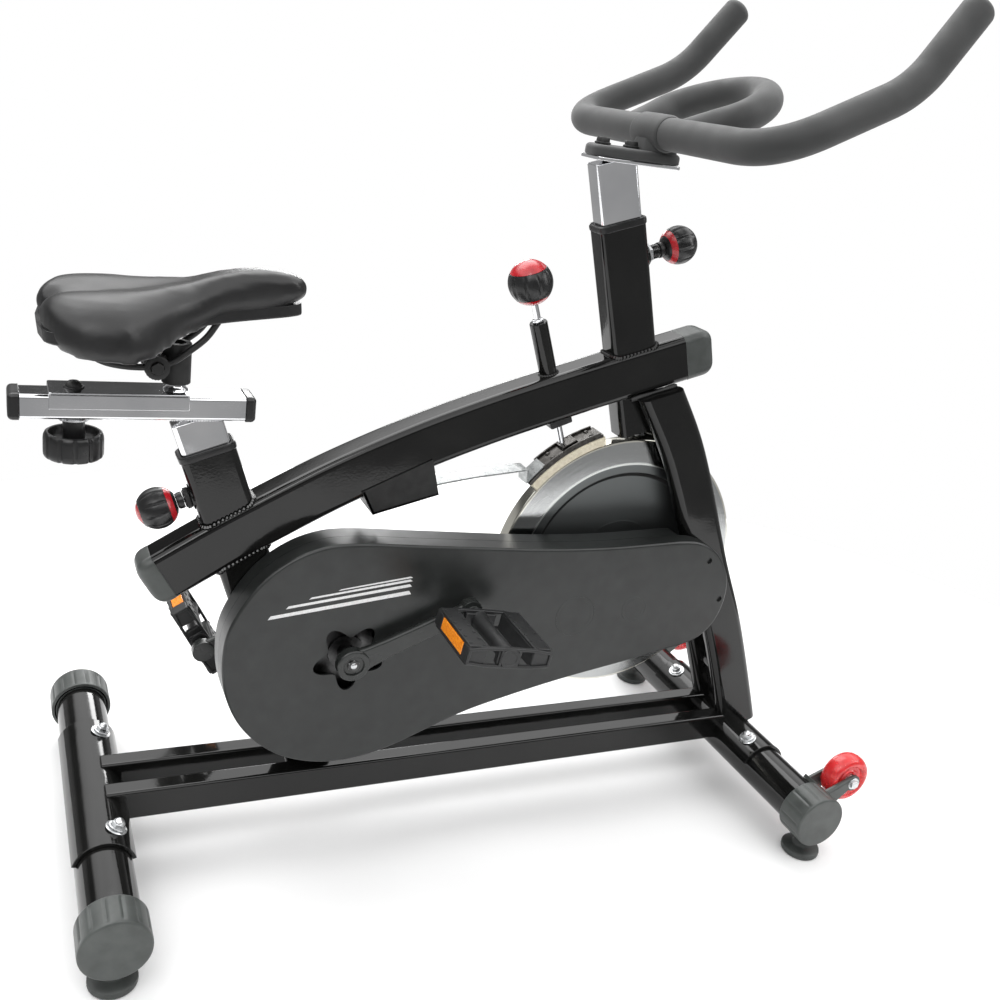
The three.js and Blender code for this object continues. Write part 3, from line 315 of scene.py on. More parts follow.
class Look:
    """A Principled material whose detail comes from noise in the piece's own space."""

    def __init__(self, name, colour, rough, metallic=0.0, **fixed):
        self.mat = bpy.data.materials.new(name)
        self.mat.use_nodes = True
        self.mat.diffuse_color = (*colour, 1)
        self.nodes, self.links = self.mat.node_tree.nodes, self.mat.node_tree.links
        self.shader = self.nodes["Principled BSDF"]
        self.shader.inputs["Base Color"].default_value = (*colour, 1)
        self.shader.inputs["Roughness"].default_value = rough
        self.shader.inputs["Metallic"].default_value = metallic
        for key, value in fixed.items():
            self.shader.inputs[key.replace("_", " ")].default_value = value
        self.where = self.nodes.new("ShaderNodeTexCoord").outputs["Object"]
        self.height = None

    def put(self, source, socket):
        self.links.new(source, socket)

    def mapped(self, scale):
        node = self.nodes.new("ShaderNodeMapping")
        self.put(self.where, node.inputs["Vector"])
        node.inputs["Scale"].default_value = scale
        return node.outputs["Vector"]

    def noise(self, scale, detail=2.0, rough=0.5, where=None):
        node = self.nodes.new("ShaderNodeTexNoise")
        self.put(where or self.where, node.inputs["Vector"])
        node.inputs["Scale"].default_value = scale
        node.inputs["Detail"].default_value = detail
        node.inputs["Roughness"].default_value = rough
        return node.outputs["Fac"]

    def cells(self, scale):
        node = self.nodes.new("ShaderNodeTexVoronoi")
        self.put(self.where, node.inputs["Vector"])
        node.inputs["Scale"].default_value = scale
        return node.outputs["Distance"]

    def maths(self, kind, a, b=0.0):
        node = self.nodes.new("ShaderNodeMath")
        node.operation = kind
        for value, socket in ((a, node.inputs[0]), (b, node.inputs[1])):
            if isinstance(value, (int, float)):
                socket.default_value = value
            else:
                self.put(value, socket)
        return node.outputs[0]

    def ranged(self, fac, low, high, a=0.3, b=0.7):
        node = self.nodes.new("ShaderNodeMapRange")
        self.put(fac, node.inputs["Value"])
        for key, value in (("From Min", a), ("From Max", b), ("To Min", low), ("To Max", high)):
            node.inputs[key].default_value = value
        return node.outputs["Result"]

    def ramp(self, fac, stops):
        node = self.nodes.new("ShaderNodeValToRGB")
        while len(node.color_ramp.elements) < len(stops):
            node.color_ramp.elements.new(0.5)
        for element, (position, colour) in zip(node.color_ramp.elements, stops):
            element.position = position
            element.color = (*colour, 1)
        self.put(fac, node.inputs["Fac"])
        return node.outputs["Color"]

    def colour(self, fac, a, b, low=0.3, high=0.7):
        self.put(self.ramp(fac, [(low, a), (high, b)]), self.shader.inputs["Base Color"])
        return self

    def rough(self, fac, low, high, a=0.3, b=0.7):
        self.put(self.ranged(fac, low, high, a, b), self.shader.inputs["Roughness"])
        return self

    def bump(self, fac, strength, distance):
        node = self.nodes.new("ShaderNodeBump")
        node.inputs["Strength"].default_value = strength
        node.inputs["Distance"].default_value = distance
        self.put(fac, node.inputs["Height"])
        if self.height:
            self.put(self.height, node.inputs["Normal"])
        self.height = node.outputs["Normal"]
        self.put(self.height, self.shader.inputs["Normal"])
        return self

    def radius(self, x, z):
        """distance from a Y axis through (x, z), in millimetres"""
        node = self.nodes.new("ShaderNodeVectorMath")
        node.operation = "MULTIPLY_ADD"
        self.put(self.where, node.inputs[0])
        node.inputs[1].default_value = (1000, 0, 1000)
        node.inputs[2].default_value = (-(x - ORIGIN_X), 0, -z)
        out = self.nodes.new("ShaderNodeVectorMath")
        out.operation = "LENGTH"
        self.put(node.outputs[0], out.inputs[0])
        return out.outputs["Value"]


def make_looks():
    looks = {}

    def add(name, *args, **fixed):
        looks[name] = Look(name, *args, **fixed)
        return looks[name]

    # gloss black powder coat: slight orange peel, faint haze, dust in patches
    m = add("gloss_black", (0.0055, 0.0055, 0.0055), 0.1, Specular_IOR_Level=0.42)
    m.colour(m.noise(14, 3), (0.0038, 0.0039, 0.0038), (0.008, 0.008, 0.0076))
    m.rough(m.noise(22, 4), 0.05, 0.13)
    m.bump(m.noise(330, 1), 0.05, 0.0006).bump(m.noise(24, 1), 0.06, 0.004)

    # polished chrome with handling haze and hairlines
    m = add("chrome", (0.83, 0.84, 0.86), 0.06, 1.0)
    m.colour(m.noise(9, 3), (0.70, 0.71, 0.73), (0.9, 0.9, 0.91))
    m.rough(m.noise(35, 5, 0.6), 0.035, 0.13)
    m.bump(m.noise(20, 1), 0.05, 0.004)
    m.bump(m.noise(40, 2, where=m.mapped((1, 60, 60))), 0.02, 0.0004)

    m = add("zinc", (0.6, 0.61, 0.62), 0.3, 1.0)
    m.colour(m.noise(120, 4), (0.45, 0.46, 0.47), (0.74, 0.75, 0.76))
    m.rough(m.noise(260, 4), 0.2, 0.42)
    m.bump(m.noise(900, 3), 0.12, 0.0003)

    m = add("drive_steel", (0.07, 0.07, 0.07), 0.38, 1.0)
    m.colour(m.noise(60, 5), (0.03, 0.03, 0.03), (0.12, 0.12, 0.12))
    m.rough(m.noise(90, 4), 0.28, 0.5)
    m.bump(m.noise(500, 3), 0.15, 0.0004)

    # flywheel: turned rings, a polished rim, a painted highlight line at radius 146, a cream outer edge and a
    # satin dish
    m = add("flywheel_steel", (0.5, 0.5, 0.51), 0.2, 1.0)
    r = m.radius(AXLE_X, AXLE_Z)
    share = m.maths("DIVIDE", r, 200.0)
    # light is a painted highlight: a thin bright ring at radius 145.6 to 147.4, put into the colour
    grey, dark, light, polish, cream = (0.16, 0.17, 0.17), (0.01, 0.01, 0.01), (0.74, 0.76, 0.74), (0.52, 0.53,
            0.53), (0.93, 0.91, 0.82)
    m.put(m.ramp(share, [
        (0.0, (0.13, 0.14, 0.14)), (127 / 200, (0.17, 0.18, 0.18)), (128 / 200, dark), (133 / 200, dark),
        (134.5 / 200, grey), (144.8 / 200, grey), (145.6 / 200, light), (147.4 / 200, light), (149 / 200,
        polish),
        (176.5 / 200, polish), (177.2 / 200, cream), (1.0, cream)]), m.shader.inputs["Base Color"])
    m.put(m.ramp(share, [(0.0, (1, 1, 1)), (127.4 / 200, (1, 1, 1)), (128 / 200, (0, 0, 0)), (133.5 / 200, (0,
            0, 0)),
                         (134.5 / 200, (1, 1, 1)), (1.0, (1, 1, 1))]), m.shader.inputs["Metallic"])
    lathe = m.nodes.new("ShaderNodeCombineXYZ")
    m.put(r, lathe.inputs[0])
    turned = m.noise(3.2, 3, where=lathe.outputs[0])
    base = m.ramp(share, [(0.0, (0.42,) * 3), (127 / 200, (0.42,) * 3), (134 / 200, (0.36,) * 3), (146 / 200,
            (0.3,) * 3),
                          (149 / 200, (0.13,) * 3), (1.0, (0.1,) * 3)])
    m.put(m.maths("ADD", base, m.ranged(turned, -0.03, 0.05)), m.shader.inputs["Roughness"])
    m.bump(turned, 0.12, 0.0003).bump(m.noise(30, 2), 0.03, 0.003)

    for name, colour, low, high, grain in (
        ("cap_plastic", (0.058, 0.064, 0.061), 0.34, 0.46, 0.10),
        ("foot_plastic", (0.036, 0.040, 0.038), 0.4, 0.58, 0.14),
        ("cover_plastic", (0.0165, 0.018, 0.0175), 0.30, 0.38, 0.07),
        ("black_plastic", (0.010, 0.010, 0.0105), 0.24, 0.4, 0.06),
        ("pedal_plastic", (0.017, 0.0175, 0.018), 0.36, 0.52, 0.16),
        ("crank_paint", (0.020, 0.022, 0.021), 0.2, 0.34, 0.06),
    ):
        m = add(name, colour, low)
        m.colour(m.noise(55, 4), tuple(c * 0.82 for c in colour), tuple(c * 1.22 for c in colour))
        m.rough(m.noise(30, 4), low, high)
        m.bump(m.noise(1500, 2), grain, 0.0003).bump(m.noise(16, 1), 0.05, 0.003)

    m = add("black_steel", (0.008, 0.008, 0.008), 0.5, 0.0)
    m.colour(m.noise(80, 4), (0.005, 0.005, 0.005), (0.014, 0.014, 0.014))
    m.rough(m.noise(60, 4), 0.4, 0.62)
    m.bump(m.noise(700, 3), 0.15, 0.0004)

    m = add("dark_zinc", (0.07, 0.066, 0.06), 0.3, 1.0)
    m.colour(m.noise(110, 4), (0.045, 0.042, 0.038), (0.11, 0.105, 0.1))
    m.rough(m.noise(200, 4), 0.22, 0.42)
    m.bump(m.noise(800, 3), 0.12, 0.0003)

    m = add("spring_steel", (0.3, 0.31, 0.31), 0.3, 1.0)
    m.colour(m.noise(90, 4, where=m.mapped((4, 1, 4))), (0.24, 0.25, 0.25), (0.38, 0.39, 0.39))
    m.rough(m.noise(200, 4), 0.24, 0.4)
    m.bump(m.noise(500, 3), 0.08, 0.0003)

    m = add("red_plastic", (0.5, 0.012, 0.02), 0.22, Coat_Weight=0.3, Coat_Roughness=0.08)
    m.colour(m.noise(70, 3), (0.38, 0.008, 0.014), (0.6, 0.02, 0.03))
    m.rough(m.noise(90, 3), 0.18, 0.34)
    m.bump(m.noise(900, 2), 0.06, 0.0003)

    # saddle: smooth vinyl with a very fine grain and soft creases
    m = add("vinyl", (0.011, 0.011, 0.0115), 0.36, Specular_IOR_Level=0.5)
    m.colour(m.noise(18, 4), (0.008, 0.008, 0.0083), (0.017, 0.017, 0.0175))
    m.rough(m.noise(26, 4), 0.3, 0.42)
    m.bump(m.cells(1150), 0.10, 0.0003).bump(m.noise(520, 3), 0.10, 0.0004).bump(m.noise(26, 2), 0.10, 0.003)

    # handlebar: dipped foam, matte with fine pores
    m = add("dipped_foam", (0.035, 0.036, 0.036), 0.7, Sheen_Weight=0.25, Sheen_Roughness=0.5)
    m.colour(m.noise(30, 4), (0.029, 0.030, 0.030), (0.044, 0.045, 0.045))
    m.rough(m.noise(60, 3), 0.6, 0.78)
    m.bump(m.cells(1500), 0.16, 0.0003).bump(m.noise(700, 3), 0.14, 0.0004)

    m = add("felt", (0.78, 0.71, 0.55), 0.95, Sheen_Weight=0.5, Sheen_Roughness=0.5)
    m.colour(m.noise(300, 6, 0.7), (0.62, 0.55, 0.4), (0.88, 0.82, 0.66))
    m.bump(m.noise(900, 6, 0.8), 0.6, 0.0012).bump(m.noise(150, 3), 0.3, 0.002)

    m = add("wheel_urethane", (0.85, 0.035, 0.04), 0.2, Transmission_Weight=0.35, IOR=1.48,
            Subsurface_Weight=0.4, Subsurface_Radius=(0.01, 0.002, 0.001), Coat_Weight=0.2)
    m.colour(m.noise(40, 3), (0.75, 0.02, 0.03), (0.95, 0.07, 0.07))
    m.rough(m.noise(80, 4), 0.15, 0.34)
    m.bump(m.noise(200, 3), 0.06, 0.0008)

    # reflector: amber lens over rows of small prisms, with a faint emission that paints a glow onto it
    m = add("amber_lens", (0.95, 0.32, 0.02), 0.12, Coat_Weight=0.8, Coat_Roughness=0.05,
            Emission_Color=(1.0, 0.3, 0.02, 1), Emission_Strength=0.12)
    prism_cells = m.cells(420)
    m.colour(prism_cells, (1.0, 0.36, 0.02), (0.8, 0.2, 0.01), 0.1, 0.8)
    m.rough(m.noise(200, 2), 0.08, 0.2)
    m.bump(prism_cells, 0.5, 0.0008)

    m = add("white_ink", (0.8, 0.8, 0.8), 0.4)
    m.colour(m.noise(400, 5), (0.7, 0.7, 0.7), (0.86, 0.86, 0.86))
    m.rough(m.noise(300, 3), 0.35, 0.5)
    m.bump(m.noise(1200, 2), 0.1, 0.0002)
    return looks


L = make_looks()
for node, look in (
    ("crank_axle", "drive_steel"), ("chainring", "drive_steel"), ("drive_chain", "drive_steel"),
    ("flywheel_sprocket", "drive_steel"),
):
    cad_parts[node].data.materials.clear()
    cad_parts[node].data.materials.append(L[look].mat)

# ---- directions and shared points ----------------------------------------------

SEAT_LEAN, BAR_LEAN, BRAKE_LEAN = 19.6, 17.8, 21.5
seat_up = V(-math.sin(rad(SEAT_LEAN)), 0, math.cos(rad(SEAT_LEAN)))
seat_out = V(-math.cos(rad(SEAT_LEAN)), 0, -math.sin(rad(SEAT_LEAN)))
bar_up = V(-math.sin(rad(BAR_LEAN)), 0, math.cos(rad(BAR_LEAN)))
bar_out = V(math.cos(rad(BAR_LEAN)), 0, math.sin(rad(BAR_LEAN)))
brake_up = V(-math.sin(rad(BRAKE_LEAN)), 0, math.cos(rad(BRAKE_LEAN)))
seat_mouth, bar_mouth, brake_foot = V(110, 0, 513), V(578, 0, 798), V(517, 0, 613)
SIDES = ((-1, "right"), (1, "left"))

# ---- base ------------------------------------------------------------------------

STAB_Z, CAP_R = 62, 37.6


def cap_wave(t, r, s):
    """fourteen shallow grooves that leave a smooth rim at the face"""
    if r < 35 or s > 34.5:
        return 0
    return -1.1 * groove(t, 14, 0.13)


for end, x, half in (("rear", 0, 250), ("front", 907, 258)):
    h = half - 4
    f = turn(Form(), [(28.5, -h), (31, -h), (31, h), (28.5, h)], V(x, 0, STAB_Z), ACROSS, 96, closed=True)
    piece(f"tube_{end}", f, L["gloss_black"], stands=f"stabilizer_{end}")

    arc = [(x + 35.6 * math.sin(rad(a)), STAB_Z + 35.6 * math.cos(rad(a))) for a in range(-74, 75, 4)]
    arc += [(x + 31.2 * math.sin(rad(a)), STAB_Z + 31.2 * math.cos(rad(a))) for a in range(74, -75, -4)]
    f = plate(Form(), arc, -125, 125, soft=0.9)
    piece(f"saddle_{end}", f, L["gloss_black"], stands=f"saddle_plate_{end}")

    lean = rad(24 if end == "rear" else -24)
    out = V(math.sin(lean), 0, math.cos(lean))
    f = Form()
    for side in (-1, 1):
        c = V(x, side * 97, STAB_Z)
        turn(f, [(0, 34.5), (11.5, 35.2), (12.5, 36), (12.5, 36.7), (11.8, 37.3), (0, 37.3)], c, out, 40)
        turn(f, [(0, 37.3), (9, 37.4), (9.8, 38.2), (9.6, 39.1), (8.8, 39.6), (0, 39.6)], c, out, 40)
        hexagon(f, 13, c + out * 39.6, c + out * 44.2, 0.9)
        dome(f, 5.8, c + out * 43.9, out, 32, 0.85)
    piece(f"cap_nuts_{end}", f, L["zinc"])

    for side, tag in SIDES:
        s0 = half - 42
        profile = [(32.2, s0), (36.2, s0), (37.2, s0 + 0.6), (CAP_R, s0 + 1.6)]
        profile += [(CAP_R, s0 + 3.6 + i * 3.4) for i in range(10)]
        profile += [(CAP_R, half - 4.2), (CAP_R - 0.1, half - 2.6), (CAP_R - 0.5, half - 1.2), (CAP_R - 1.6,
                half - 0.3),
                    (CAP_R - 3, half), (CAP_R - 9, half - 0.1), (0, half - 0.1)]
        inner = [(0, half - 3.6), (31.4, half - 3.6), (31.4, s0 + 1)]
        f = turn(Form(), profile + inner + [profile[0]], V(x, 0, STAB_Z), V(0, side, 0), 168,
                 wave=lambda t, r, s, s0=s0: cap_wave(t, r, s - s0) if s - s0 > 2 else 0)
        if end == "front":
            for face in (-1, 1):
                y = side * 213 + face * 17
                tip = [(975 + 12 * math.cos(rad(a)), 98 + 12 * math.sin(rad(a))) for a in range(-115, 96, 15)]
                plate(f, [(x + 20, STAB_Z + 29), (x + 30, STAB_Z - 4)] + tip, y - 2.2, y + 2.2, 0.9)
                plate(f, [(x + 24, STAB_Z + 24), (x + 33, STAB_Z + 1)] + [(975 + 8 * math.cos(rad(a)),
                        98 + 8 * math.sin(rad(a)))
                          for a in range(-115, 96, 30)], y - 2.8, y + 2.8, 0.5)
            wall = [(x + 36.6 * math.sin(rad(a)), STAB_Z + 36.6 * math.cos(rad(a))) for a in range(28, 107, 6)]
            wall += [(x + 31.4 * math.sin(rad(a)), STAB_Z + 31.4 * math.cos(rad(a))) for a in range(106, 27,
                    -6)]
            plate(f, wall, *sorted((side * 191.5, side * 219)), 0.9)
        piece(f"end_cap_{end}_{tag}", f, L["cap_plastic"], stands=f"stabilizer_cap_{end}_{tag}")

        foot_y = side * (half - 24)
        f = turn(Form(), [(0, 0), (22.5, 0), (24.6, 0.7), (25.6, 2), (26, 3.5), (26, 7), (25.5, 8.6), (24, 9.6),
                (21, 10.4),
                          (14, 12), (12.2, 13.2), (11.4, 15), (11, 17), (11, 21.5), (10.2, 22.4), (6, 22.5), (6,
                          30), (0, 30)],
                 V(x, foot_y, 0), V(0, 0, 1), 96,
                 wave=lambda t, r, s: -0.35 * (1 if math.cos(40 * t) > 0.3 else 0) if r > 25.8 else 0)
        piece(f"leveller_{end}_{tag}", f, L["foot_plastic"], f"foot_{end}_{tag}", f"foot_{end}_{tag}")

for side, tag in SIDES:
    f = slab(Form(), rr(25, 39, 4, 5), V(9, side * 29.5, 79.5), V(893, side * 29.5, 79.5), ACROSS, 1.2)
    piece(f"base_rail_{tag}", f, L["gloss_black"], stands=f"rail_{tag}")

# ---- beam, sleeves, legs -----------------------------------------------------------

BEAM_LINE = [(69.5, 365.3), (127, 400.5), (185.5, 433.8), (264, 476), (358.7, 519.4), (441.5, 551.9),
             (514.8, 577.6), (596.3, 604.8), (679, 631.6), (702, 639)]
LEG_LINE = [(637, 640), (661, 604), (711, 530.5), (739, 479), (801.5, 346), (852, 246.8), (915, 98), (922, 80)]


def flat_line(points, y=0.0, per=8):
    return spline([V(x, y, z) for x, z in points], per)


beam_outline = rr(44, 60, 9.5, 8)
beam_form = sweep(Form(), beam_outline, flat_line(BEAM_LINE), ACROSS)
beam_tree = BVHTree.FromPolygons(beam_form.v, beam_form.f)
f = Form().add(beam_form.v, beam_form.f)
# brake tube on the beam
turn(f, [(5, -4), (11, -4), (11, 63), (10.4, 64), (8, 64.2), (5, 64)], brake_foot, brake_up, 48, closed=True)
piece("beam", f, L["gloss_black"], stands="main_beam")


def domed(form, outline, start, way, straight, depth, across=ACROSS, boxy=0.5):
    """outline carried straight, then closed in by a blunt dome"""
    y = way.cross(Vector(across)).normalized()
    x = y.cross(way)
    rows = [(0.6, 0.99), (0, 0.98)][::-1] + [(1.2, 1.0), (straight, 1.0)]
    rows += [(straight + depth * math.sin(rad(a)), math.cos(rad(a)) ** boxy) for a in range(8, 89, 8)]
    return loft(form, [[start + way * s + x * (u * k) + y * (w * k) for u, w in outline] for s, k in rows])


for name, (ax, az), (bx, bz), straight, depth in (
    ("beam_cap_rear", BEAM_LINE[1], BEAM_LINE[0], 7, 17), ("beam_cap_front", BEAM_LINE[8], BEAM_LINE[9], 24,
            20),
):
    end, way = V(bx, 0, bz), (V(bx, 0, bz) - V(ax, 0, az)).normalized()
    f = domed(Form(), rr(44.6, 60.6, 9.9, 8), end + way * 0.2, way, straight, depth)
    piece(f"end_{name}", f, L["cap_plastic"], stands=name)


def sleeve(start, mouth, bore):
    """tube of the post sleeves, open at its mouth"""
    up = (mouth - start).normalized()
    rows = ((36, 62, 8, start), (36, 62, 8, mouth - up * 1.0), (35.4, 61.4, 7.7, mouth - up * 0.3),
            (34.4, 60.4, 7.2, mouth), (31.6, 57.6, 6, mouth), (30.4, 56.4, 5.4, mouth - up * 1.2),
            (30.4, 56.4, 5.4, mouth - up * bore))
    return loft(Form(), [section(rr(a, b, r), p, up) for a, b, r, p in rows])


def collar(name, mouth, up):
    """moulded bushing whose lip shows round the post"""
    rows = ((36.6, 62.6, 8.3, -5.5), (38.2, 64.2, 9, -4.6), (38.8, 64.8, 9.2, -1.5), (38.2, 64.2, 9, 1.6),
            (35.5, 61.5, 7.6, 2.6), (30, 56, 5.8, 2.6), (29.2, 55.2, 5.6, 1.6), (29.2, 55.2, 5.6, -5.5))
    f = loft(Form(), [section(rr(a, b, r), mouth + up * s, up) for a, b, r, s in rows], closed=True)
    piece(name, f, L["black_plastic"])


def lump(form, p, rx, ry, rz):
    """one ripple of a weld bead"""
    loft(form, [[p + V(rx * math.cos(rad(lat)) * math.cos(q * math.pi / 4),
                       ry * math.cos(rad(lat)) * math.sin(q * math.pi / 4), rz * math.sin(rad(lat)))
                 for q in range(8)] for lat in (-50, 0, 50)])


def bead(form, outline_points, direction, tree, width=3.0, step=4.2):
    """weld bead where a tube of that outline meets a surface, found by rays along the tube"""
    hits = []
    around = []
    for a, b in zip(outline_points, outline_points[1:] + outline_points[:1]):
        n = max(1, int((b - a).length / 5))
        around += [a.lerp(b, k / n) for k in range(n)]
    for p in around:
        hit = tree.ray_cast(p - direction * 400, direction, 800)[0]
        if hit is not None:
            hits.append(hit)
    dense = []
    for a, b in zip(hits, hits[1:] + hits[:1]):
        n = max(1, int((b - a).length / step))
        if (b - a).length < 30:
            dense += [a.lerp(b, k / n) for k in range(n)]
    for i, p in enumerate(dense):
        r = width * (0.92 + 0.16 * math.sin(i * 12.9898 + 78.233))
        lump(form, p, r * 1.05, r, r * 0.9)


f = sleeve(seat_mouth - seat_up * 438, seat_mouth, 45)
nut_at = seat_mouth - seat_up * 50 + seat_out * 31
turn(f, [(0, -3), (15, -3), (15.4, 0), (14.6, 1.2), (12, 2), (10.2, 2.6), (10, 8.4), (9.4, 9), (4.4, 9), (4.4,
        5), (0, 5)],
     nut_at, seat_out, 40)
piece("seat_sleeve", f, L["gloss_black"], stands="seat_tube")
collar("seat_bushing", seat_mouth, seat_up)
f = hexagon(Form(), 23, nut_at + seat_out * 2.2, nut_at + seat_out * 7.4, 1.0)
piece("seat_boss_nut", f, L["black_steel"])

f = sleeve(bar_mouth - bar_up * 271, bar_mouth, 45)
bar_nut = bar_mouth - bar_up * 47 + bar_out * 31
turn(f, [(0, -3), (15, -3), (15.4, 0), (14.6, 2.4), (11, 4), (9.4, 5), (9, 7)] +
     [(9.0 - 0.55 * (k % 2), 8 + k * 1.1) for k in range(10)] + [(8.6, 19.4), (8, 20), (4.4, 20), (4.4, 14), (0,
             14)],
     bar_nut, bar_out, 40)
piece("bar_sleeve", f, L["gloss_black"], stands="head_tube")
collar("bar_bushing", bar_mouth, bar_up)
f = hexagon(Form(), 21, bar_nut + bar_out * 2.6, bar_nut + bar_out * 8.4, 1.0)
piece("bar_boss_nut", f, L["zinc"])

welds = Form()
for mouth, up, sign in ((seat_mouth, seat_up, -1), (seat_mouth, seat_up, 1), (bar_mouth, bar_up, -1)):
    bead(welds, section(rr(38, 64, 9, 5), mouth, up), up * sign, beam_tree, 3.5)
bead(welds, section(disc(11.6, 24), brake_foot, brake_up), -brake_up, beam_tree, 2.0, 3.0)

# the legs' tops are cut along the underside of the beam
LEG_TOP, LEG_TOP_NORMAL = V(659.3, 0, 592.6), V(-30.6, 0, 95.2).normalized()
for side, tag in SIDES:
    leg = sweep(Form(), rr(24, 60, 11, 7), flat_line(LEG_LINE, side * 30.5, 7), ACROSS)
    leg = sliced(leg, LEG_TOP + LEG_TOP_NORMAL * 0.6, LEG_TOP_NORMAL)
    arm = [(AXLE_X + 20 * math.cos(rad(a)), AXLE_Z + 20 * math.sin(rad(a))) for a in range(90, 271, 12)]
    if side < 0:
        plate(leg, arm + [(801, 334), (799, 359)], -57, -52, 1.0)
        rod(leg, 12, V(790, -41.8, 348), V(790, -53, 348), 32)
    else:
        plate(leg, arm + [(777, 331), (770, 365)], 26, 32, 1.2)
    piece(f"leg_{tag}", leg, L["gloss_black"], stands=f"front_leg_{tag}")

# beads along the legs' joint with the beam
for side in (-1, 1):
    for k in range(26):
        s = -31 + 62 * k / 25
        p = LEG_TOP + LEG_TOP_NORMAL * 2 + V(95.2, 0, 30.6).normalized() * (s + 2)
        r = 3.4 * (0.9 + 0.2 * math.sin(k * 12.9))
        lump(welds, V(p.x, side * 23.5, p.z), r * 1.1, r, r)
piece("weld_beads", welds, L["gloss_black"])

f = rod(Form(), 15, V(884, -18.2, 168), V(884, 18.2, 168), 40, 0.5)
piece("brace", f, L["gloss_black"], stands="leg_brace")

# ---- drive and chain cover ------------------------------------------------------------

CRANK_X, CRANK_Z = 277, 272
f = turn(Form(), [(11.3, -32), (22.4, -32), (23, -31.4), (23, 31.4), (22.4, 32), (11.3, 32)], V(CRANK_X, 0,
        CRANK_Z), ACROSS, 64,
         closed=True)
plate(f, [(212, 305), (257, 293), (257, 251), (230, 240)], -14, 14, 1.2)
piece("bottom_shell", f, L["gloss_black"], stands="bottom_bracket")

COVER_LINE = [
    (128, 272), (131, 312), (149, 352), (174, 384), (207, 407), (240, 418), (272, 420),
    (350, 414.5), (430, 408.5), (500, 403.5), (560, 401), (620, 400.5), (690, 403), (725, 404),
    (752, 401), (777, 390), (797, 371), (810, 348), (815, 322), (812, 296), (802, 273), (786, 257),
    (764, 247), (735, 241), (660, 226), (585, 212), (510, 195), (440, 176), (395, 158), (350, 139),
    (312, 128), (275, 124.5), (240, 129), (205, 142), (174, 165), (150, 195), (134, 233),
]
cover_outline = [(p.x, p.z) for p in spline([V(x, 0, z) for x, z in COVER_LINE], 6, closed=True)]


def lobed(r_mid, r_lobe, way, n=120):
    """five-lobed opening round the crank"""
    made = []
    for i in range(n):
        t = 2 * math.pi * i / n
        r = r_mid + r_lobe * math.cos(5 * (t - rad(way)))
        made.append((CRANK_X + r * math.cos(t), CRANK_Z + r * math.sin(t)))
    return made


def holed(form, outer, holes, y):
    """flat sheet with holes, in the plane at y"""
    loops = [at_y(loop, y) for loop in [outer] + holes]
    flat = [p for loop in loops for p in loop]
    tris = tessellate_polygon([[V(p.x, p.z, 0) for p in loop] for loop in loops])
    form.add(flat, [list(t) for t in tris])


opening = lobed(36, 8.6, 54)
screws = [(773.2, 374.1), (804.3, 314.4)]
screw_holes = [disc(4.2, 20, x, z) for x, z in screws]
f = Form()
rows = [(cover_outline, -44.3)]
for k in range(7):
    t = rad(90 * k / 6)
    rows.append((shrink(cover_outline, 3.4 * (1 - math.cos(t))), -64.6 - 3.4 * math.sin(t)))
loft(f, [at_y(o, y) for o, y in rows], caps=False)
holed(f, rows[-1][0], [opening] + screw_holes, -68)
for hole, deep in [(opening, -64.8)] + [(h, -62) for h in screw_holes]:
    loft(f, [at_y(hole, -68), at_y(hole, deep)], caps=False)
inner = shrink(cover_outline, 3.4)
holed(f, inner, [opening], -64.8)
for h in screw_holes:
    holed(f, h, [], -62)
wall = shrink(cover_outline, 2.4)
loft(f, [at_y(inner, -64.8), at_y(wall, -64.8), at_y(wall, -44.3), at_y(cover_outline, -44.3)], caps=False)
piece("cover_outer", f, L["cover_plastic"], stands="chain_cover_outer")

# recessed screws, ring marks and a plain stripe motif on the face
f = Form()
for x, z in screws:
    turn(f, [(0, 0), (3.9, 0), (3.9, 0.8), (3.2, 1.9), (1.4, 2.2), (1.2, 1.2), (0, 1.1)], V(x, -62.6, z), V(0,
            -1, 0), 24)
piece("cover_screws", f, L["black_steel"])
f = Form()
for x, z, r in ((578.5, 305, 28), (667, 309, 18)):
    turn(f, [(r - 0.9, -0.4), (r - 0.45, 0.22), (r + 0.45, 0.22), (r + 0.9, -0.4)], V(x, -68, z), V(0, -1, 0),
            72, closed=True)
    turn(f, [(r - 5.2, -0.4), (r - 5, 0.1), (r - 4.7, 0.1), (r - 4.5, -0.4)], V(x, -68, z), V(0, -1, 0), 72,
            closed=True)
piece("cover_rings", f, L["cover_plastic"])
f = Form()
for x0, x1, z0, rise, thick in ((176, 346, 330, 22, 4.6), (196, 346, 342.5, 19.5, 3.4), (222, 346, 353, 16,
        2.6),
                                (256, 346, 362, 11.6, 1.8)):
    plate(f, [(x0, z0), (x1, z0 + rise), (x1 - 3, z0 + rise + thick), (x0 + 3, z0 + thick)], -68.22, -67.9,
            0.05)
piece("cover_stripes", f, L["white_ink"])

# inner half of the cover, cut away in front of the leg
f = Form()
rows = [(cover_outline, -43.8)]
for k in range(5):
    t = rad(90 * k / 4)
    rows.append((shrink(cover_outline, 2.0 * (1 - math.cos(t))), -21.2 + 2.0 * math.sin(t)))
back_holes = [disc(26, 40, CRANK_X, CRANK_Z), disc(24, 40, AXLE_X, AXLE_Z)]
inner = shrink(cover_outline, 2.4)
loft(f, [at_y(o, y) for o, y in rows], caps=False)
holed(f, rows[-1][0], back_holes, -19.2)
holed(f, inner, back_holes, -21.6)
for h in back_holes:
    loft(f, [at_y(h, -19.2), at_y(h, -21.6)], caps=False)
loft(f, [at_y(inner, -21.6), at_y(inner, -43.8), at_y(cover_outline, -43.8)], caps=False)
f = sliced(f, V(731, 0, 400), V(160, 0, 71).normalized(), open_sheet=True)
piece("cover_inner", f, L["cover_plastic"], stands="chain_cover_inner")

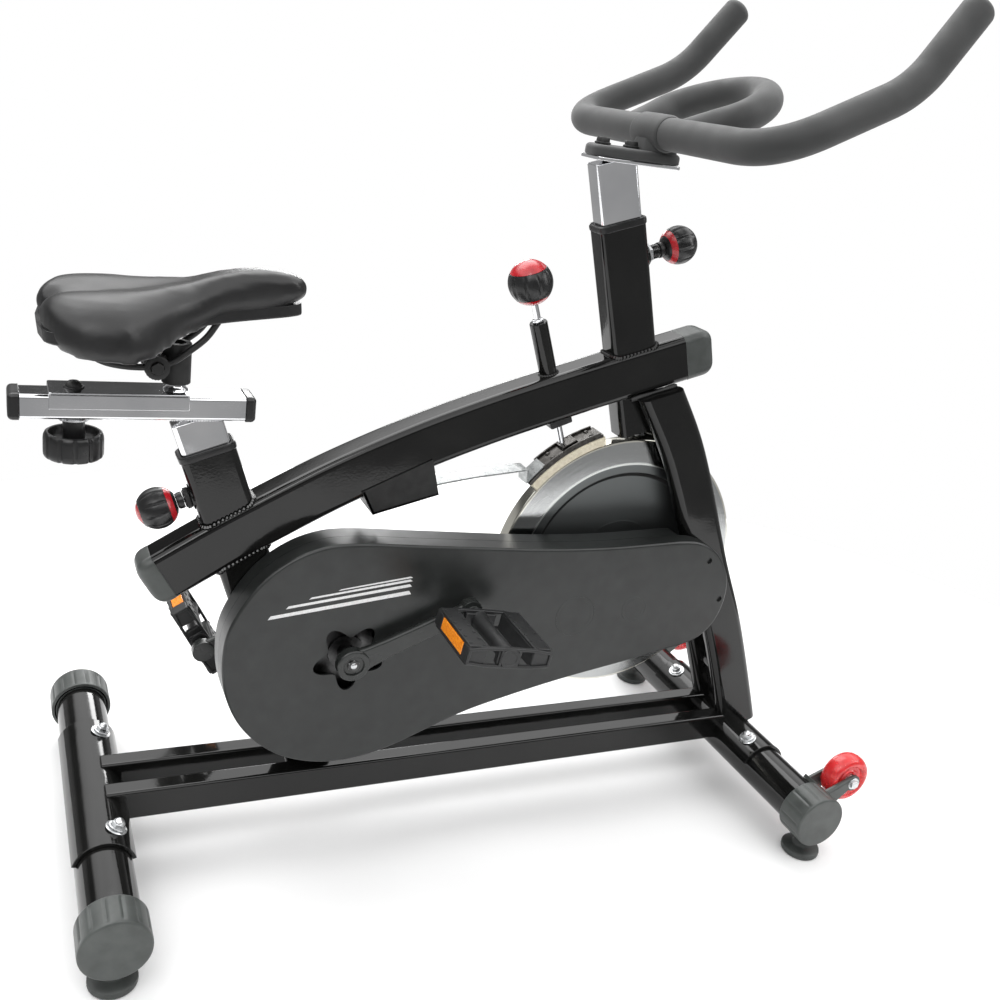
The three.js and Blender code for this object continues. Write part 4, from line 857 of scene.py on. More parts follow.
# cranks with their pedal axles
ANGLE = 23.5
for side, tag in SIDES:
    a = rad(ANGLE) + (math.pi if side > 0 else 0)
    way = V(math.cos(a), 0, math.sin(a))
    up = V(-math.sin(a), 0, math.cos(a))
    hub = V(CRANK_X, 0, CRANK_Z)
    tip = hub + way * CRANK_LENGTH
    rings = []
    for s, wide, thick in ((0, 33, 9.4), (8, 32, 9.6), (22, 28, 9.8), (45, 25, 9.6), (90, 23, 9), (130, 22.4,
            9), (155, 24, 9.4)):
        c = hub + way * s + V(0, side * 83, 0)
        rings.append([c + up * u + V(0, side * w, 0) for u, w in rr(wide, thick, 3.4, 4)])
    f = loft(Form(), rings)
    turn(f, [(12, 0.6), (18.8, 0.6), (20, 1.8), (20, 12.4), (19.3, 13.4), (18, 14), (13, 14), (12.2, 13), (12,
            11.6), (12, 10.8), (0, 10.8),
             (0, 2), (12, 2)], hub + V(0, side * 76, 0), V(0, side, 0), 56)
    rod(f, 14, tip + V(0, side * 76.4, 0), tip + V(0, side * 89.8, 0), 40, 1.4)
    turn(f, [(0, 0), (8, 0), (8, 11), (7.4, 11.6), (5.2, 12), (5, 13), (5, 110), (0, 110)], tip + V(0,
            side * 89.6, 0),
         V(0, side, 0), 32)
    for k in range(2):
        turn(f, [(0, 0), (8.8, 0), (9.2, 0.5), (9.2, 1.3), (8.8, 1.8), (0, 1.8)], tip + V(0,
                side * (92 + 4 * k), 0), V(0, side, 0), 32)
    piece(f"crank_arm_{tag}", f, L["crank_paint"], "crank", f"crank_{tag}")
    f = hexagon(Form(), 13, hub + V(0, side * 86.4, 0), hub + V(0, side * 88.6, 0), 0.5)
    dome(f, 4.2, hub + V(0, side * 88.4, 0), V(0, side, 0), 24, 0.4)
    piece(f"crank_bolt_{tag}", f, L["zinc"], "crank")

# pedals: barrel, two cross treads with studs, pointed end plates, reflectors
PITCH = {"right": -8, "left": -60}
for side, tag in SIDES:
    a = rad(ANGLE) + (math.pi if side > 0 else 0)
    tip = V(CRANK_X + CRANK_LENGTH * math.cos(a), side * 105, CRANK_Z + CRANK_LENGTH * math.sin(a))
    pitch = rad(PITCH[tag])
    px, pz = V(math.cos(pitch), 0, math.sin(pitch)), V(-math.sin(pitch), 0, math.cos(pitch))

    def local(u, s, w, tip=tip, side=side, px=px, pz=pz):
        return tip + px * u + V(0, side * s, 0) + pz * w

    def bar3(form, u0, u1, s0, s1, w0, w1, soft=1.0):
        outline = rr(u1 - u0, w1 - w0, min(2.0, (u1 - u0) / 3, (w1 - w0) / 3), 3)
        slab(form, outline, local((u0 + u1) / 2, s0, (w0 + w1) / 2), local((u0 + u1) / 2, s1, (w0 + w1) / 2),
                px, soft)

    f = Form()
    # barrel round the axle, waisted
    turn(f, [(5.4, 0), (10, 0), (12, 1.5), (12, 8), (10, 12), (9.4, 49), (10, 86), (12, 90), (12, 96), (11, 98),
             (0, 98), (0, 92), (5.4, 92)], local(0, 0, 0), V(0, side, 0), 40)
    # web between barrel and treads
    bar3(f, -20, 20, 1.5, 9, -9.5, 9.5, 1.2)
    bar3(f, -15, 15, 88, 96, -9.5, 9.5, 1.2)
    for u in (-1, 1):
        lo, hi = sorted((u * 30, u * 53))
        # tread: two thin rails with a reflector pocket between
        for w in (-1, 1):
            w0, w1 = sorted((w * 8.2, w * 12.6))
            bar3(f, lo, hi, 3, 95, w0, w1, 1.0)
            for k in range(6):
                s = 10 + k * 15.5
                top = w * 12.4
                slab(f, rr(4.2, 3.6, 1.2, 2), local(u * 49.5, s, top - w * 0.6), local(u * 49.5, s,
                        top + w * 1.1), px, 0.5)
                slab(f, rr(4.2, 3.6, 1.2, 2), local(u * 34, s + 5, top - w * 0.6), local(u * 34, s + 5,
                        top + w * 1.1), px, 0.5)
        bar3(f, *sorted((u * 29.5, u * 32.6)), 3, 95, -9.6, 9.6, 0.8)
        bar3(f, *sorted((u * 48, u * 51)), 3, 95, -9.6, 9.6, 0.8)
        for s in (2.5, 92):
            bar3(f, *sorted((u * 30, u * 53.4)), s, s + 4, -10.5, 10.5, 1.0)
        # ends of the reflector pocket
        for s0, s1 in ((3, 17.4), (80.6, 95)):
            bar3(f, *sorted((u * 49, u * 53.6)), s0, s1, -9.8, 9.8, 1.0)
    # end plates, open between their rails
    for s0, s1 in ((0, 5), (93, 98)):
        for u in (-1, 1):
            for w in (-1, 1):
                path = [local(0, 0, w * 11), local(u * 30, 0, w * 10.6), local(u * 53, 0, w * 8)]
                ringset = []
                for p in path:
                    c = p + V(0, side * (s0 + s1) / 2, 0)
                    ringset.append([c + pz * x + V(0, side * y, 0) for x, y in rr(3.6, 5.6, 1.2, 3)])
                loft(f, ringset)
            bar3(f, *sorted((u * 50, u * 53.8)), s0, s1, -9.4, 9.4, 1.2)
            bar3(f, *sorted((u * 9, u * 12.6)), s0, s1, -11.6, 11.6, 1.0)
        turn(f, [(0, 0), (11.4, 0), (12.2, 0.8), (12.2, 4.8), (11.4, 5.8), (8.6, 5.9), (8.2, 5.4), (0, 5.4)],
             local(0, s0 if s0 else 5, 0), V(0, side if s0 else -side, 0), 40)
    piece(f"pedal_body_{tag}", f, L["pedal_plastic"], f"pedal_{tag}", f"pedal_{tag}")
    for u, where in ((-1, "rear"), (1, "front")):
        f = Form()
        bar3(f, *sorted((u * 51.3, u * 53.5)), 18.4, 79.6, -7.4, 7.4, 0.7)
        piece(f"lens_{tag}_{where}", f, L["amber_lens"], f"pedal_{tag}", f"reflector_{tag}_{where}")

# ---- flywheel ------------------------------------------------------------------------------

AXLE = V(AXLE_X, 0, AXLE_Z)
half_side = [(8.4, 14), (28.6, 14), (30, 12.6), (30.6, 4.8), (31.6, 4), (60, 4), (61, 4.4), (63, 4.4), (64, 4),
        (126.4, 4), (128, 4.6),
             (132.4, 6.8), (133.4, 8), (133.6, 9), (134.4, 9.6), (144.6, 9.8), (145.6, 9.9), (147.6, 10), (150,
             10),
             (177.6, 10), (179.2, 9.4), (180, 8)]
f = turn(Form(), [(r, -s) for r, s in half_side] + half_side[::-1], AXLE, ACROSS, 200, closed=True)
piece("wheel_disc", f, L["flywheel_steel"], "flywheel", "flywheel")
f = Form()
for k in range(5):
    a = rad(36 + 72 * k)
    for s in (-1, 1):
        c = AXLE + V(22 * math.cos(a), 0, 22 * math.sin(a))
        hexagon(f, 8, c + V(0, s * 13.6, 0), c + V(0, s * 16.2, 0), 0.5)
piece("hub_bolts", f, L["zinc"], "flywheel")

f = rod(Form(), 8, V(AXLE_X, -64, AXLE_Z), V(AXLE_X, 44, AXLE_Z), 40, 1)
for y0, y1 in ((-62.6, -57.3), (32.3, 40)):
    hexagon(f, 21, V(AXLE_X, y0, AXLE_Z), V(AXLE_X, y1, AXLE_Z), 0.9)
for y0, y1 in ((-57.3, -57.0), (32.0, 33.6)):
    turn(f, [(8, 0), (14, 0), (14, 1.4), (8, 1.4)], V(AXLE_X, y0, AXLE_Z), ACROSS, 40, closed=True)
turn(f, [(8, 0), (11, 0), (11, 11.4), (8, 11.4)], V(AXLE_X, 14.3, AXLE_Z), ACROSS, 40, closed=True)
piece("axle_and_nuts", f, L["zinc"], stands="flywheel_axle")

# ---- brake ---------------------------------------------------------------------------------

f = rod(Form(), 4, brake_foot - brake_up * 101, brake_foot + brake_up * 92, 32, 0.8)
turn(f, [(0, 65.2), (6.6, 65.2), (7, 65.6), (7, 67), (6.6, 67.5), (4.6, 67.7), (4.4, 69), (0, 69)], brake_foot,
        brake_up, 40)
piece("brake_spindle", f, L["chrome"], "brake_rod", "brake_rod")


def grip(prefix, origin, axis, centre, r, body, stands, bands, lobes=12):
    """round hand grip: shallow flutes on the middle, red bands and a red end cap"""
    def flute(t, q, s):
        w = (s - centre) / r
        if abs(w) > bands["flute"]:
            return 0
        return -0.05 * r * groove(t, lobes, 0.12) * (1 - (w / bands["flute"]) ** 4)

    def arc(w0, w1, n, grow=0.0):
        made = []
        for i in range(n + 1):
            w = w0 + (w1 - w0) * i / n
            made.append(((r + grow) * math.sqrt(max(0.0, 1 - w * w)), centre + r * w))
        return made

    def band(w0, w1, n, grow=0.0):
        shell = arc(w0, w1, n, grow)
        return [(0, shell[0][1])] + shell + [(0, shell[-1][1])]
    a, b, c, d = bands["cuts"]
    f = turn(Form(), band(a, b, 8, -0.35), origin, axis, 64)
    turn(f, band(b, c, 22), origin, axis, 144, wave=flute)
    if not bands.get("tip", "red"):
        turn(f, band(c + 0.015, d, 12, -0.3), origin, axis, 64)
    if bands.get("neck"):
        turn(f, bands["neck"], origin, axis, 48)
    piece(f"{prefix}_grip", f, L["black_plastic"], body, stands)
    f = Form()
    if bands.get("tip", "red"):
        turn(f, band(c + 0.015, d, 12, -0.5), origin, axis, 64)
    if bands.get("ring"):
        w0, w1 = bands["ring"]
        turn(f, band(w0, w1, 6, 0.25), origin, axis, 64)
    piece(f"{prefix}_red", f, L["red_plastic"], body)


grip("resistance", brake_foot, brake_up, 114, 27, "brake_knob", "brake_knob",
     {"cuts": (-0.93, -0.80, 0.56, 0.992), "ring": (-0.93, -0.62), "flute": 0.56,
      "neck": [(0, 87.6), (7, 87.6), (7.6, 88.2), (7.6, 90), (0, 90)]}, lobes=10)

# guide block under the beam, round the spindle
f = Form()
low = brake_foot - brake_up * 50
slab(f, rr(26, 30, 2.5, 3), low, low - brake_up * 22, ACROSS, 1.2)
slab(f, rr(34, 40, 3, 3), low, low - brake_up * 10, ACROSS, 1.2)
piece("brake_guide", f, L["black_steel"])

f = Form()
plate(f, [(287, 466), (371, 506), (384, 461), (303, 437)], -24.5, -21.5, 0.6)
plate(f, [(287, 466), (371, 506), (384, 461), (303, 437)], 21.5, 24.5, 0.6)
plate(f, [(303, 437), (384, 461), (383, 464.4), (302, 440.6)], -24.5, 24.5, 0.6)
plate(f, [(287, 466), (303, 437), (306.4, 438.2), (290.6, 467.6)], -24.5, 24.5, 0.6)
piece("brake_box", f, L["black_steel"], stands="brake_bracket")
f = Form()
under = V(0.2838, 0, -0.9589)
for x, z in ((318, 441.4), (366, 455.7)):
    c = V(x, 0, z)
    hexagon(f, 9, c, c + under * 5.2, 0.8)
    rod(f, 3, c, c + under * 8, 20, 0.5)
piece("brake_box_screws", f, L["zinc"])


def rim(angle, r):
    return (AXLE_X + r * math.cos(rad(angle)), AXLE_Z + r * math.sin(rad(angle)))


def sector(r0, r1, a0, a1, n=16):
    return [rim(a0 + (a1 - a0) * i / n, r0) for i in range(n + 1)] + [rim(a1 - (a1 - a0) * i / n,
            r1) for i in range(n + 1)]


f = plate(Form(), sector(182.3, 194.1, 107.2, 141.8), -14.8, 14.8, 1.6)
piece("felt_pad", f, L["felt"], "brake_arm", "brake_pad")
f = plate(Form(), sector(194.6, 198.6, 108, 142), -15, 15, 0.8)
for y in (-1, 1):
    plate(f, sector(197.6, 201.6, 109, 134), min(y * 12.4, y * 15), max(y * 12.4, y * 15), 0.7)
plate(f, [rim(117.4, 197.6), rim(124.6, 197.6), rim(124, 203.2), rim(118, 203.2)], -9, 9, 1.0)
for ang in (112, 129, 134.5):
    c = rim(ang, 198.4)
    out = V(math.cos(rad(ang)), 0, math.sin(rad(ang)))
    for y in (-7.5, 7.5):
        dome(f, 3.3, V(c[0], y, c[1]), out, 20, 0.7)
piece("pad_shoe", f, L["dark_zinc"], "brake_arm", "pad_holder")
leaf = flat_line(((316, 449.3), (350, 459.2), (384, 469.1), (412, 474.4), (440, 479), (475, 483.4), (505,
        487.2)), 0, 6)
leaf += at_y([rim(angle, 199.9) for angle in (142.2, 138, 133)], 0)
f = sweep(Form(), rr(26, 2.2, 0.8, 2), leaf, ACROSS)
piece("leaf", f, L["spring_steel"], "brake_arm", "brake_leaf")

# ---- seat post, slide, carriage ---------------------------------------------------------------


def post_holes(form, mouth, up, out, first):
    """rims of the setting holes down a post's face"""
    for k in range(5):
        c = mouth + up * (-first - 25 * k) + out * 27
        turn(form, [(4.6, -0.2), (5.4, 0.12), (6, 0), (6, -1), (4.6, -1)], c, out, 24, closed=True)


POST = rr(28, 54, 5, 6)
f = Form()
slab(f, POST, seat_mouth - seat_up * 250, seat_mouth + seat_up * 38, ACROSS, 1)
slab(f, rr(38, 26, 4, 6), V(-77, 0, 562.5), V(148, 0, 562.5), ACROSS, 0.6)
post_holes(f, seat_mouth, seat_up, seat_out, 50)
piece("seat_stem", f, L["chrome"], "seat_post", "seat_post")
under_slide = Form().add([V(-77, -30, 549.5), V(148, -30, 549.5), V(148, 30, 549.5), V(-77, 30, 549.5)], [[0, 1,
        2, 3]])
under_tree = BVHTree.FromPolygons(under_slide.v, under_slide.f)
f = Form()
bead(f, section(rr(29.5, 55.5, 6, 5), seat_mouth, seat_up), seat_up, under_tree, 1.7, 2.6)
piece("stem_weld", f, L["chrome"], "seat_post")
for x, step, tag in ((-77, -1, "rear"), (148, 1, "front")):
    f = Form()
    slab(f, rr(40.6, 28.6, 5, 5), V(x + step * 0.2, 0, 562.5), V(x + step * 11, 0, 562.5), ACROSS, 0.5, 5.0)
    piece(f"slide_end_{tag}", f, L["black_plastic"], "seat_post", f"slide_cap_{tag}")

f = Form()
TOP = 575.8
block(f, -50, 88, -22.8, 22.8, TOP, TOP + 3.6, 0.7, 2.5)
for y in (-1, 1):
    lo, hi = sorted((y * 19.4, y * 22.8))
    slab(f, rr(hi - lo, 138, 1.2, 3), V(19, (lo + hi) / 2, 562), V(19, (lo + hi) / 2, TOP + 2.6), ACROSS, 0.6)
turn(f, [(0, 0), (13.4, 0), (13, 1.2), (11, 3), (9.8, 5), (9.2, 7), (9.2, 43.8), (8.4, 45.4), (0, 45.4)], V(76,
        0, TOP + 3.2), V(0, 0, 1), 40)
turn(f, [(0, 514), (4, 514), (4, 578), (0, 578)], V(-25, 0, 0), V(0, 0, 1), 24)
piece("carriage", f, L["chrome"], "carriage", "slide_carriage")
f = turn(Form(), [(0, 579.2), (9.8, 579.2), (10.3, 579.8), (9.8, 580.7), (8.6, 581), (8.4, 582.2), (7.4, 584.2),
        (5.2, 585.8), (2.6, 586.5), (0, 586.6)],
         V(-25, 0, 0), V(0, 0, 1), 40)
piece("carriage_bolt", f, L["black_steel"], "carriage")


def knob_wave(t, r, s):
    if r < 27 or s > 24:
        return 0
    return -1.5 * groove(t, 12, 0.16)


f = turn(Form(), [(0, 12), (18, 12), (20, 10), (22.4, 3), (23.4, 0.8), (25, 0), (27.6, 0.4), (29.2, 1.8), (29.9,
        4), (30, 8),
                  (30, 14), (30, 20), (29.6, 23.6), (28.4, 26.4), (26.6, 27.6), (25, 27.4), (24, 25.6), (23,
                  21), (21, 18.6),
                  (14, 17.6), (11.8, 18.4), (11, 21), (11, 42), (0, 42)], V(-25, 0, 504), V(0, 0, 1), 144,
                  wave=knob_wave)
piece("slide_knob_cup", f, L["black_plastic"], "slide_knob", "slide_knob")
f = turn(Form(), [(4.2, 41.4), (15.4, 41.4), (16, 42), (16, 43.6), (15.4, 44.2), (4.2, 44.2)], V(-25, 0, 504),
        V(0, 0, 1), 40, closed=True)
piece("slide_washer", f, L["zinc"], "slide_knob")

# saddle clamp and wires
f = Form()
turn(f, [(9.4, 587), (14.2, 587), (15, 587.8), (15, 630), (14.2, 631), (9.4, 631)], V(76, 0, 0), V(0, 0, 1), 48,
        closed=True)
block(f, 53, 68, -9, 9, 600, 618, 1.5, 2)
turn(f, [(4.3, -16), (10.4, -16), (11, -15.4), (11, 15.4), (10.4, 16), (4.3, 16)], V(53, 0, 609), ACROSS, 40,
        closed=True)
piece("clamp", f, L["black_steel"], "carriage", "saddle_clamp")
BASE_SLOPE = 0.114


def base_low(x):
    return 644 + BASE_SLOPE * x


f = rod(Form(), 4, V(53, -31, 609), V(53, 31, 609), 24)
for side in (-1, 1):
    route = [(-34, 34, base_low(-34) + 2), (-22, 32, 632), (-4, 29, 617), (20, 25, 610), (53, 22, 609.5), (68,
            21, 614), (86, 20, 627),
             (102, 19, 641), (114, 18.5, base_low(114) + 2)]
    tube(f, spline([V(x, side * y, z) for x, y, z in route], 6), 3.5, 20)
piece("saddle_wires", f, L["black_steel"], "saddle", "saddle_rails")
f = Form()
for side in (-1, 1):
    turn(f, [(4.2, 16.3), (12, 16.3), (13, 17.3), (13, 20), (12.4, 20.4), (12.4, 21.6), (13, 22), (13, 27), (11,
            28), (7, 28), (6.6, 27), (4.2, 27)],
         V(53, 0, 609), V(0, side, 0), 48, closed=True, wave=lambda t, r,
         s: -0.5 * (math.cos(24 * t) > 0) if r > 12.6 else 0)
    hexagon(f, 12, V(53, side * 26.6, 609), V(53, side * 31.6, 609), 0.8)
piece("clamp_cheeks", f, L["black_steel"], "saddle")

# ---- saddle ---------------------------------------------------------------------------------------

PLAN = [(-66, 0), (-63, 34), (-56, 60), (-44, 80), (-28, 93), (-6, 98), (16, 95), (38, 82), (58, 66), (78, 51),
        (100, 39), (125, 32),
        (150, 28.5), (175, 26), (193, 23), (205, 17), (211, 10), (214, 0)]
SIDE = [(-66, 662, 662), (-60, 672, 645), (-45, 680, 619), (-30, 684, 610), (0, 687, 603), (30, 689, 604), (45,
        690.5, 613),
        (60, 693, 623), (75, 695.5, 635), (90, 698, 642), (105, 702.5, 650), (120, 707, 659), (150, 713, 665),
        (180, 716, 673),
        (200, 713, 680), (210, 706, 686), (214, 697, 697)]


def table(rows, x, column=1):
    """smooth lookup between rows"""
    if x <= rows[0][0]:
        return rows[0][column]
    for i in range(1, len(rows)):
        if x <= rows[i][0]:
            a, b = rows[i - 1], rows[i]
            t = (x - a[0]) / (b[0] - a[0])
            m0 = (b[column] - rows[max(i - 2, 0)][column]) / max(b[0] - rows[max(i - 2, 0)][0],
                    1e-6) * (b[0] - a[0])
            nxt = rows[min(i + 1, len(rows) - 1)]
            m1 = (nxt[column] - a[column]) / max(nxt[0] - a[0], 1e-6) * (b[0] - a[0])
            h = (2 * t ** 3 - 3 * t ** 2 + 1, t ** 3 - 2 * t ** 2 + t, -2 * t ** 3 + 3 * t ** 2,
                    t ** 3 - t ** 2)
            return h[0] * a[column] + h[1] * m0 + h[2] * b[column] + h[3] * m1
    return rows[-1][column]


def saddle_form(inset=0.0, n=64, m=56):
    """crowned saddle: two rear lobes with a valley between, long nose, tucked underside"""
    rings = []
    for i in range(n + 1):
        u = 0.5 - 0.5 * math.cos(math.pi * i / n)
        x = -66 + inset + u * (280 - 2 * inset)
        ring = []
        w = max(table(PLAN, x) - inset, 0.0)
        top, low = table(SIDE, x, 1) - inset, table(SIDE, x, 2) + inset
        if i in (0, n):
            w, top, low = 0, (top + low) / 2, (top + low) / 2
        mid = (low + top) / 2
        for j in range(m):
            t = 2 * math.pi * j / m
            c, v = math.cos(t), math.sin(t)
            y = w * math.copysign(abs(c) ** 0.74, c)
            z = mid + (top - mid) * math.copysign(abs(v) ** 0.76, v)
            tail = max(0.0, min(1.0, (95 - x) / 110))
            valley = math.exp(-(y / (13 + 0.12 * w)) ** 2)
            if v > 0:
                z -= (9.5 * tail ** 0.8 + 1.6) * valley * v
                lobe = math.exp(-((abs(y) - 0.55 * w) / (0.4 * w + 1)) ** 2)
                z += 2.4 * tail * lobe * v
            else:
                # the underside is hollow inside a rolled rim
                under = max(0.0, min(1.0, (w - 7 - abs(y)) / 12))
                under = under * under * (3 - 2 * under)
                z += (max(base_low(x) + 5 - inset, z) - z) * under
            shift = 15 * math.exp(-(y / 17) ** 2) * max(0.0, min(1.0, (-20 - x) / 46))
            ring.append(V(x + shift, y, z))
        rings.append(ring)
    return loft(Form(), rings, caps=False)


def tube_mesh(name, form):
    mesh = to_mesh(name, form, 180)
    obj = bpy.data.objects.new(name, mesh)
    bpy.context.scene.collection.objects.link(obj)
    return obj


def applied(obj):
    """the object's mesh with its modifiers worked in"""
    bpy.context.view_layer.update()
    graph = bpy.context.evaluated_depsgraph_get()
    mesh = bpy.data.meshes.new_from_object(obj.evaluated_get(graph), depsgraph=graph)
    for mod in list(obj.modifiers):
        obj.modifiers.remove(mod)
    obj.data = mesh
    return obj


def puff(obj, pressure=4.0, frames=20, limit=0.004):
    """swell the cover as cloth under pressure, no point moving past the limit"""
    scene = bpy.context.scene
    mod = obj.modifiers.new("remesh", "REMESH")
    mod.mode, mod.voxel_size = "VOXEL", 0.0045
    applied(obj)
    before = [v.co.copy() for v in obj.data.vertices]
    cloth = obj.modifiers.new("cloth", "CLOTH")
    cloth.settings.use_pressure = True
    cloth.settings.uniform_pressure_force = pressure
    cloth.settings.effector_weights.gravity = 0
    cloth.settings.tension_stiffness = 25
    cloth.settings.compression_stiffness = 25
    cloth.settings.bending_stiffness = 2.0
    cloth.point_cache.frame_start, cloth.point_cache.frame_end = 1, frames
    for frame_no in range(1, frames + 1):
        scene.frame_set(frame_no)
    graph = bpy.context.evaluated_depsgraph_get()
    shape = bpy.data.meshes.new_from_object(obj.evaluated_get(graph), depsgraph=graph)
    obj.modifiers.remove(cloth)
    scene.frame_set(1)
    for v, old, new in zip(obj.data.vertices, before, shape.vertices):
        move = new.co - old
        if move.length > limit:
            move = move.normalized() * limit
        v.co = old + move
    return obj


saddle = tube_mesh("saddle_cover", saddle_form(2.2))
puff(saddle)
smooth = saddle.modifiers.new("smooth", "SMOOTH")
smooth.factor, smooth.iterations = 0.5, 6
applied(saddle)
sub = saddle.modifiers.new("subdivide", "SUBSURF")
sub.levels = sub.render_levels = 1
applied(saddle)
for poly in saddle.data.polygons:
    poly.use_smooth = True
saddle.data.materials.clear()
saddle.data.materials.append(L["vinyl"].mat)
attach(saddle, "saddle")
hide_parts("saddle_pad")

# moulded base tucked under the cushion
f = Form()
ring = [(x, max(w - 10, 3.0)) for x, w in PLAN if -58 < x < 206]
outline = ring + [(x, -w) for x, w in ring[::-1]]
tilt_up = V(-BASE_SLOPE, 0, 1).normalized()
nose_way = V(1, 0, BASE_SLOPE).normalized()
start = V(0, 0, base_low(0)) + tilt_up * 13
slab(f, [(p.x, p.y) for p in spline([V(a, b, 0) for a, b in outline], 3, closed=True)], start,
        start - tilt_up * 13, nose_way, 0.8, 2.4)
piece("saddle_shell", f, L["black_plastic"], "saddle", "saddle_base")

# ---- handlebar ---------------------------------------------------------------------------------------

f = Form()
slab(f, POST, bar_mouth - bar_up * 190, bar_mouth + bar_up * 73, ACROSS, 1)
slab(f, rr(54, 110, 8, 5), V(581, 0, 866), V(581, 0, 869.8), ACROSS, 0.8)
post_holes(f, bar_mouth, bar_up, bar_out, 47)
piece("bar_stem", f, L["chrome"], "bar", "bar_post")


def cornered(points, radii, step=6.0):
    """polyline with rounded corners, evenly spaced"""
    made = [points[0]]
    for i in range(1, len(points) - 1):
        a, b, c = points[i - 1], points[i], points[i + 1]
        before = b + (a - b).normalized() * radii[i - 1]
        after = b + (c - b).normalized() * radii[i - 1]
        made += [before.lerp(b, k / 16).lerp(b.lerp(after, k / 16), k / 16) for k in range(17)]
    made.append(points[-1])
    even = [made[0]]
    for p in made[1:]:
        gap = (p - even[-1]).length
        n = max(1, round(gap / step))
        last_p = even[-1]
        if gap > step * 0.6:
            even += [last_p.lerp(p, (k + 1) / n) for k in range(n)]
    even[-1] = made[-1]
    return even


BAR_R = 18.5
cross = V(609, 0, 904)


def horn(side):
    return [V(833, side * 214, 1069), V(771, side * 220, 984), V(609, side * 223, 904)]


f = Form()
main = cornered(horn(-1) + horn(1)[::-1], [34, 66, 66, 34])
sweep(f, disc(BAR_R, 40), main)
for side in (-1, 1):
    end = V(833, side * 214, 1069)
    way = (end - V(771, side * 220, 984)).normalized()
    dome(f, BAR_R, end, way, 40, 0.62, 10)
loop_way = V(57.5, 0, 27.2).normalized()
loop_end = cross + loop_way * 64
loop = [V(609, -57, 904), V(638, -65, 917.6)]
loop += [loop_end + loop_way * (75 * math.cos(math.pi * (i / 12 - 0.5))) + V(0,
        75 * math.sin(math.pi * (i / 12 - 0.5)), 0) for i in range(13)]
loop += [V(638, 65, 917.6), V(609, 57, 904)]
sweep(f, disc(BAR_R, 40), spline(loop, 5), V(0, 0, 1))
piece("handlebar_foam", f, L["dipped_foam"], "bar", "handlebar")
f = Form()
slab(f, rr(54, 116, 22, 8), V(582, 0, 870.2), V(582, 0, 882.6), ACROSS, 2.4, 5.0)
rings = []
for k in range(9):
    q = k / 8
    rings.append([V(610 + w * (1 - 0.12 * q), u * (1 - 0.25 * q * q), 877 + 22 * q) for u, w in rr(50, 46, 14,
            6)])
loft(f, rings)
turn(f, [(BAR_R - 2, -30), (BAR_R + 0.6, -30), (BAR_R + 2.4, -26), (BAR_R + 2.6, 0), (BAR_R + 2.4, 26),
        (BAR_R + 0.6, 30),
         (BAR_R - 2, 30)], cross, ACROSS, 48, closed=True)
piece("bar_cradle", f, L["dipped_foam"], "bar")
f = Form()
for x in (540, 578):
    turn(f, [(0, 883), (9, 883), (9.6, 883.8), (9.4, 885), (8, 885.6), (7.6, 889), (6.6, 890.4), (3.4, 890.6),
            (3, 888.4), (0, 888.4)],
         V(x, 0, 0), V(0, 0, 1), 36)
piece("cradle_bolts", f, L["black_steel"], "bar")

# ---- spring pins -----------------------------------------------------------------------------------------

for tag, root, way, boss in (("seat", nut_at, seat_out, 9), ("bar", bar_nut, bar_out, 20)):
    centre = boss + 6 + 23.5
    grip(f"{tag}_pin", root, way, centre, 23.5, f"{tag}_pin", f"{tag}_pin",
         {"cuts": (-0.90, -0.5, 0.80, 0.995), "ring": (-0.76, -0.5), "flute": 0.66,
         "tip": "red_plastic" if tag == "seat" else None,
          "neck": [(0, boss + 0.5), (9, boss + 0.5), (9.6, boss + 1.0), (9.6, boss + 5), (8.4, boss + 8), (0,
          boss + 8)]}, lobes=10)
    f = turn(Form(), [(0, -3.4), (3.4, -3.4), (3.9, -2.4), (3.9, boss + 2), (0, boss + 2)], root, way, 24)
    piece(f"{tag}_plunger", f, L["zinc"], f"{tag}_pin")

# ---- transport wheels --------------------------------------------------------------------------------------

for side, tag in SIDES:
    c = V(975, side * 213, 98)
    half_tread = [(9.4, 9.6), (10.4, 11.4), (14.6, 11.6), (16, 10), (20.6, 9.8), (22.4, 12.6), (24.6, 13.8),
            (28, 13.6), (31.6, 11.4),
                  (33.8, 7.6), (34.9, 3)]
    f = turn(Form(), [(r, -v) for r, v in half_tread] + half_tread[::-1], c, ACROSS, 96, closed=True)
    piece(f"roller_{tag}", f, L["wheel_urethane"], f"wheel_{tag}", f"transport_wheel_{tag}")
    f = turn(Form(), [(4, -15.2), (7, -15.2), (9.6, -13), (9.6, 13), (7, 15.2), (4, 15.2)], c, ACROSS, 40,
            closed=True)
    rod(f, 3.9, c - V(0, 22, 0), c + V(0, 22, 0), 24, 0.5)
    for y in (-1, 1):
        hexagon(f, 12, c + V(0, y * 20.4, 0), c + V(0, y * 23.8, 0), 0.8)
        turn(f, [(0, 18.9), (8.4, 18.9), (8.8, 19.4), (8.8, 20.2), (8.4, 20.6), (0, 20.6)], c, V(0, y, 0), 36)
        dome(f, 4.4, c + V(0, y * 23.6, 0), V(0, y, 0), 24, 0.22)
    piece(f"roller_bolt_{tag}", f, L["zinc"], f"wheel_{tag}")

# ---- floor, light, camera ------------------------------------------------------------------------------------

mesh = bpy.data.meshes.new("floor")
mesh.from_pydata([(1.55 * math.cos(k * math.pi / 48), 1.3 * math.sin(k * math.pi / 48), 0) for k in range(96)],
        [], [list(range(96))])
floor = bpy.data.objects.new("floor", mesh)
bpy.context.scene.collection.objects.link(floor)
floor_look = Look("floor_paint", (0.9, 0.9, 0.9), 0.7)
floor_look.colour(floor_look.noise(3, 3), (0.89, 0.89, 0.89), (0.92, 0.92, 0.92))
floor.data.materials.append(floor_look.mat)


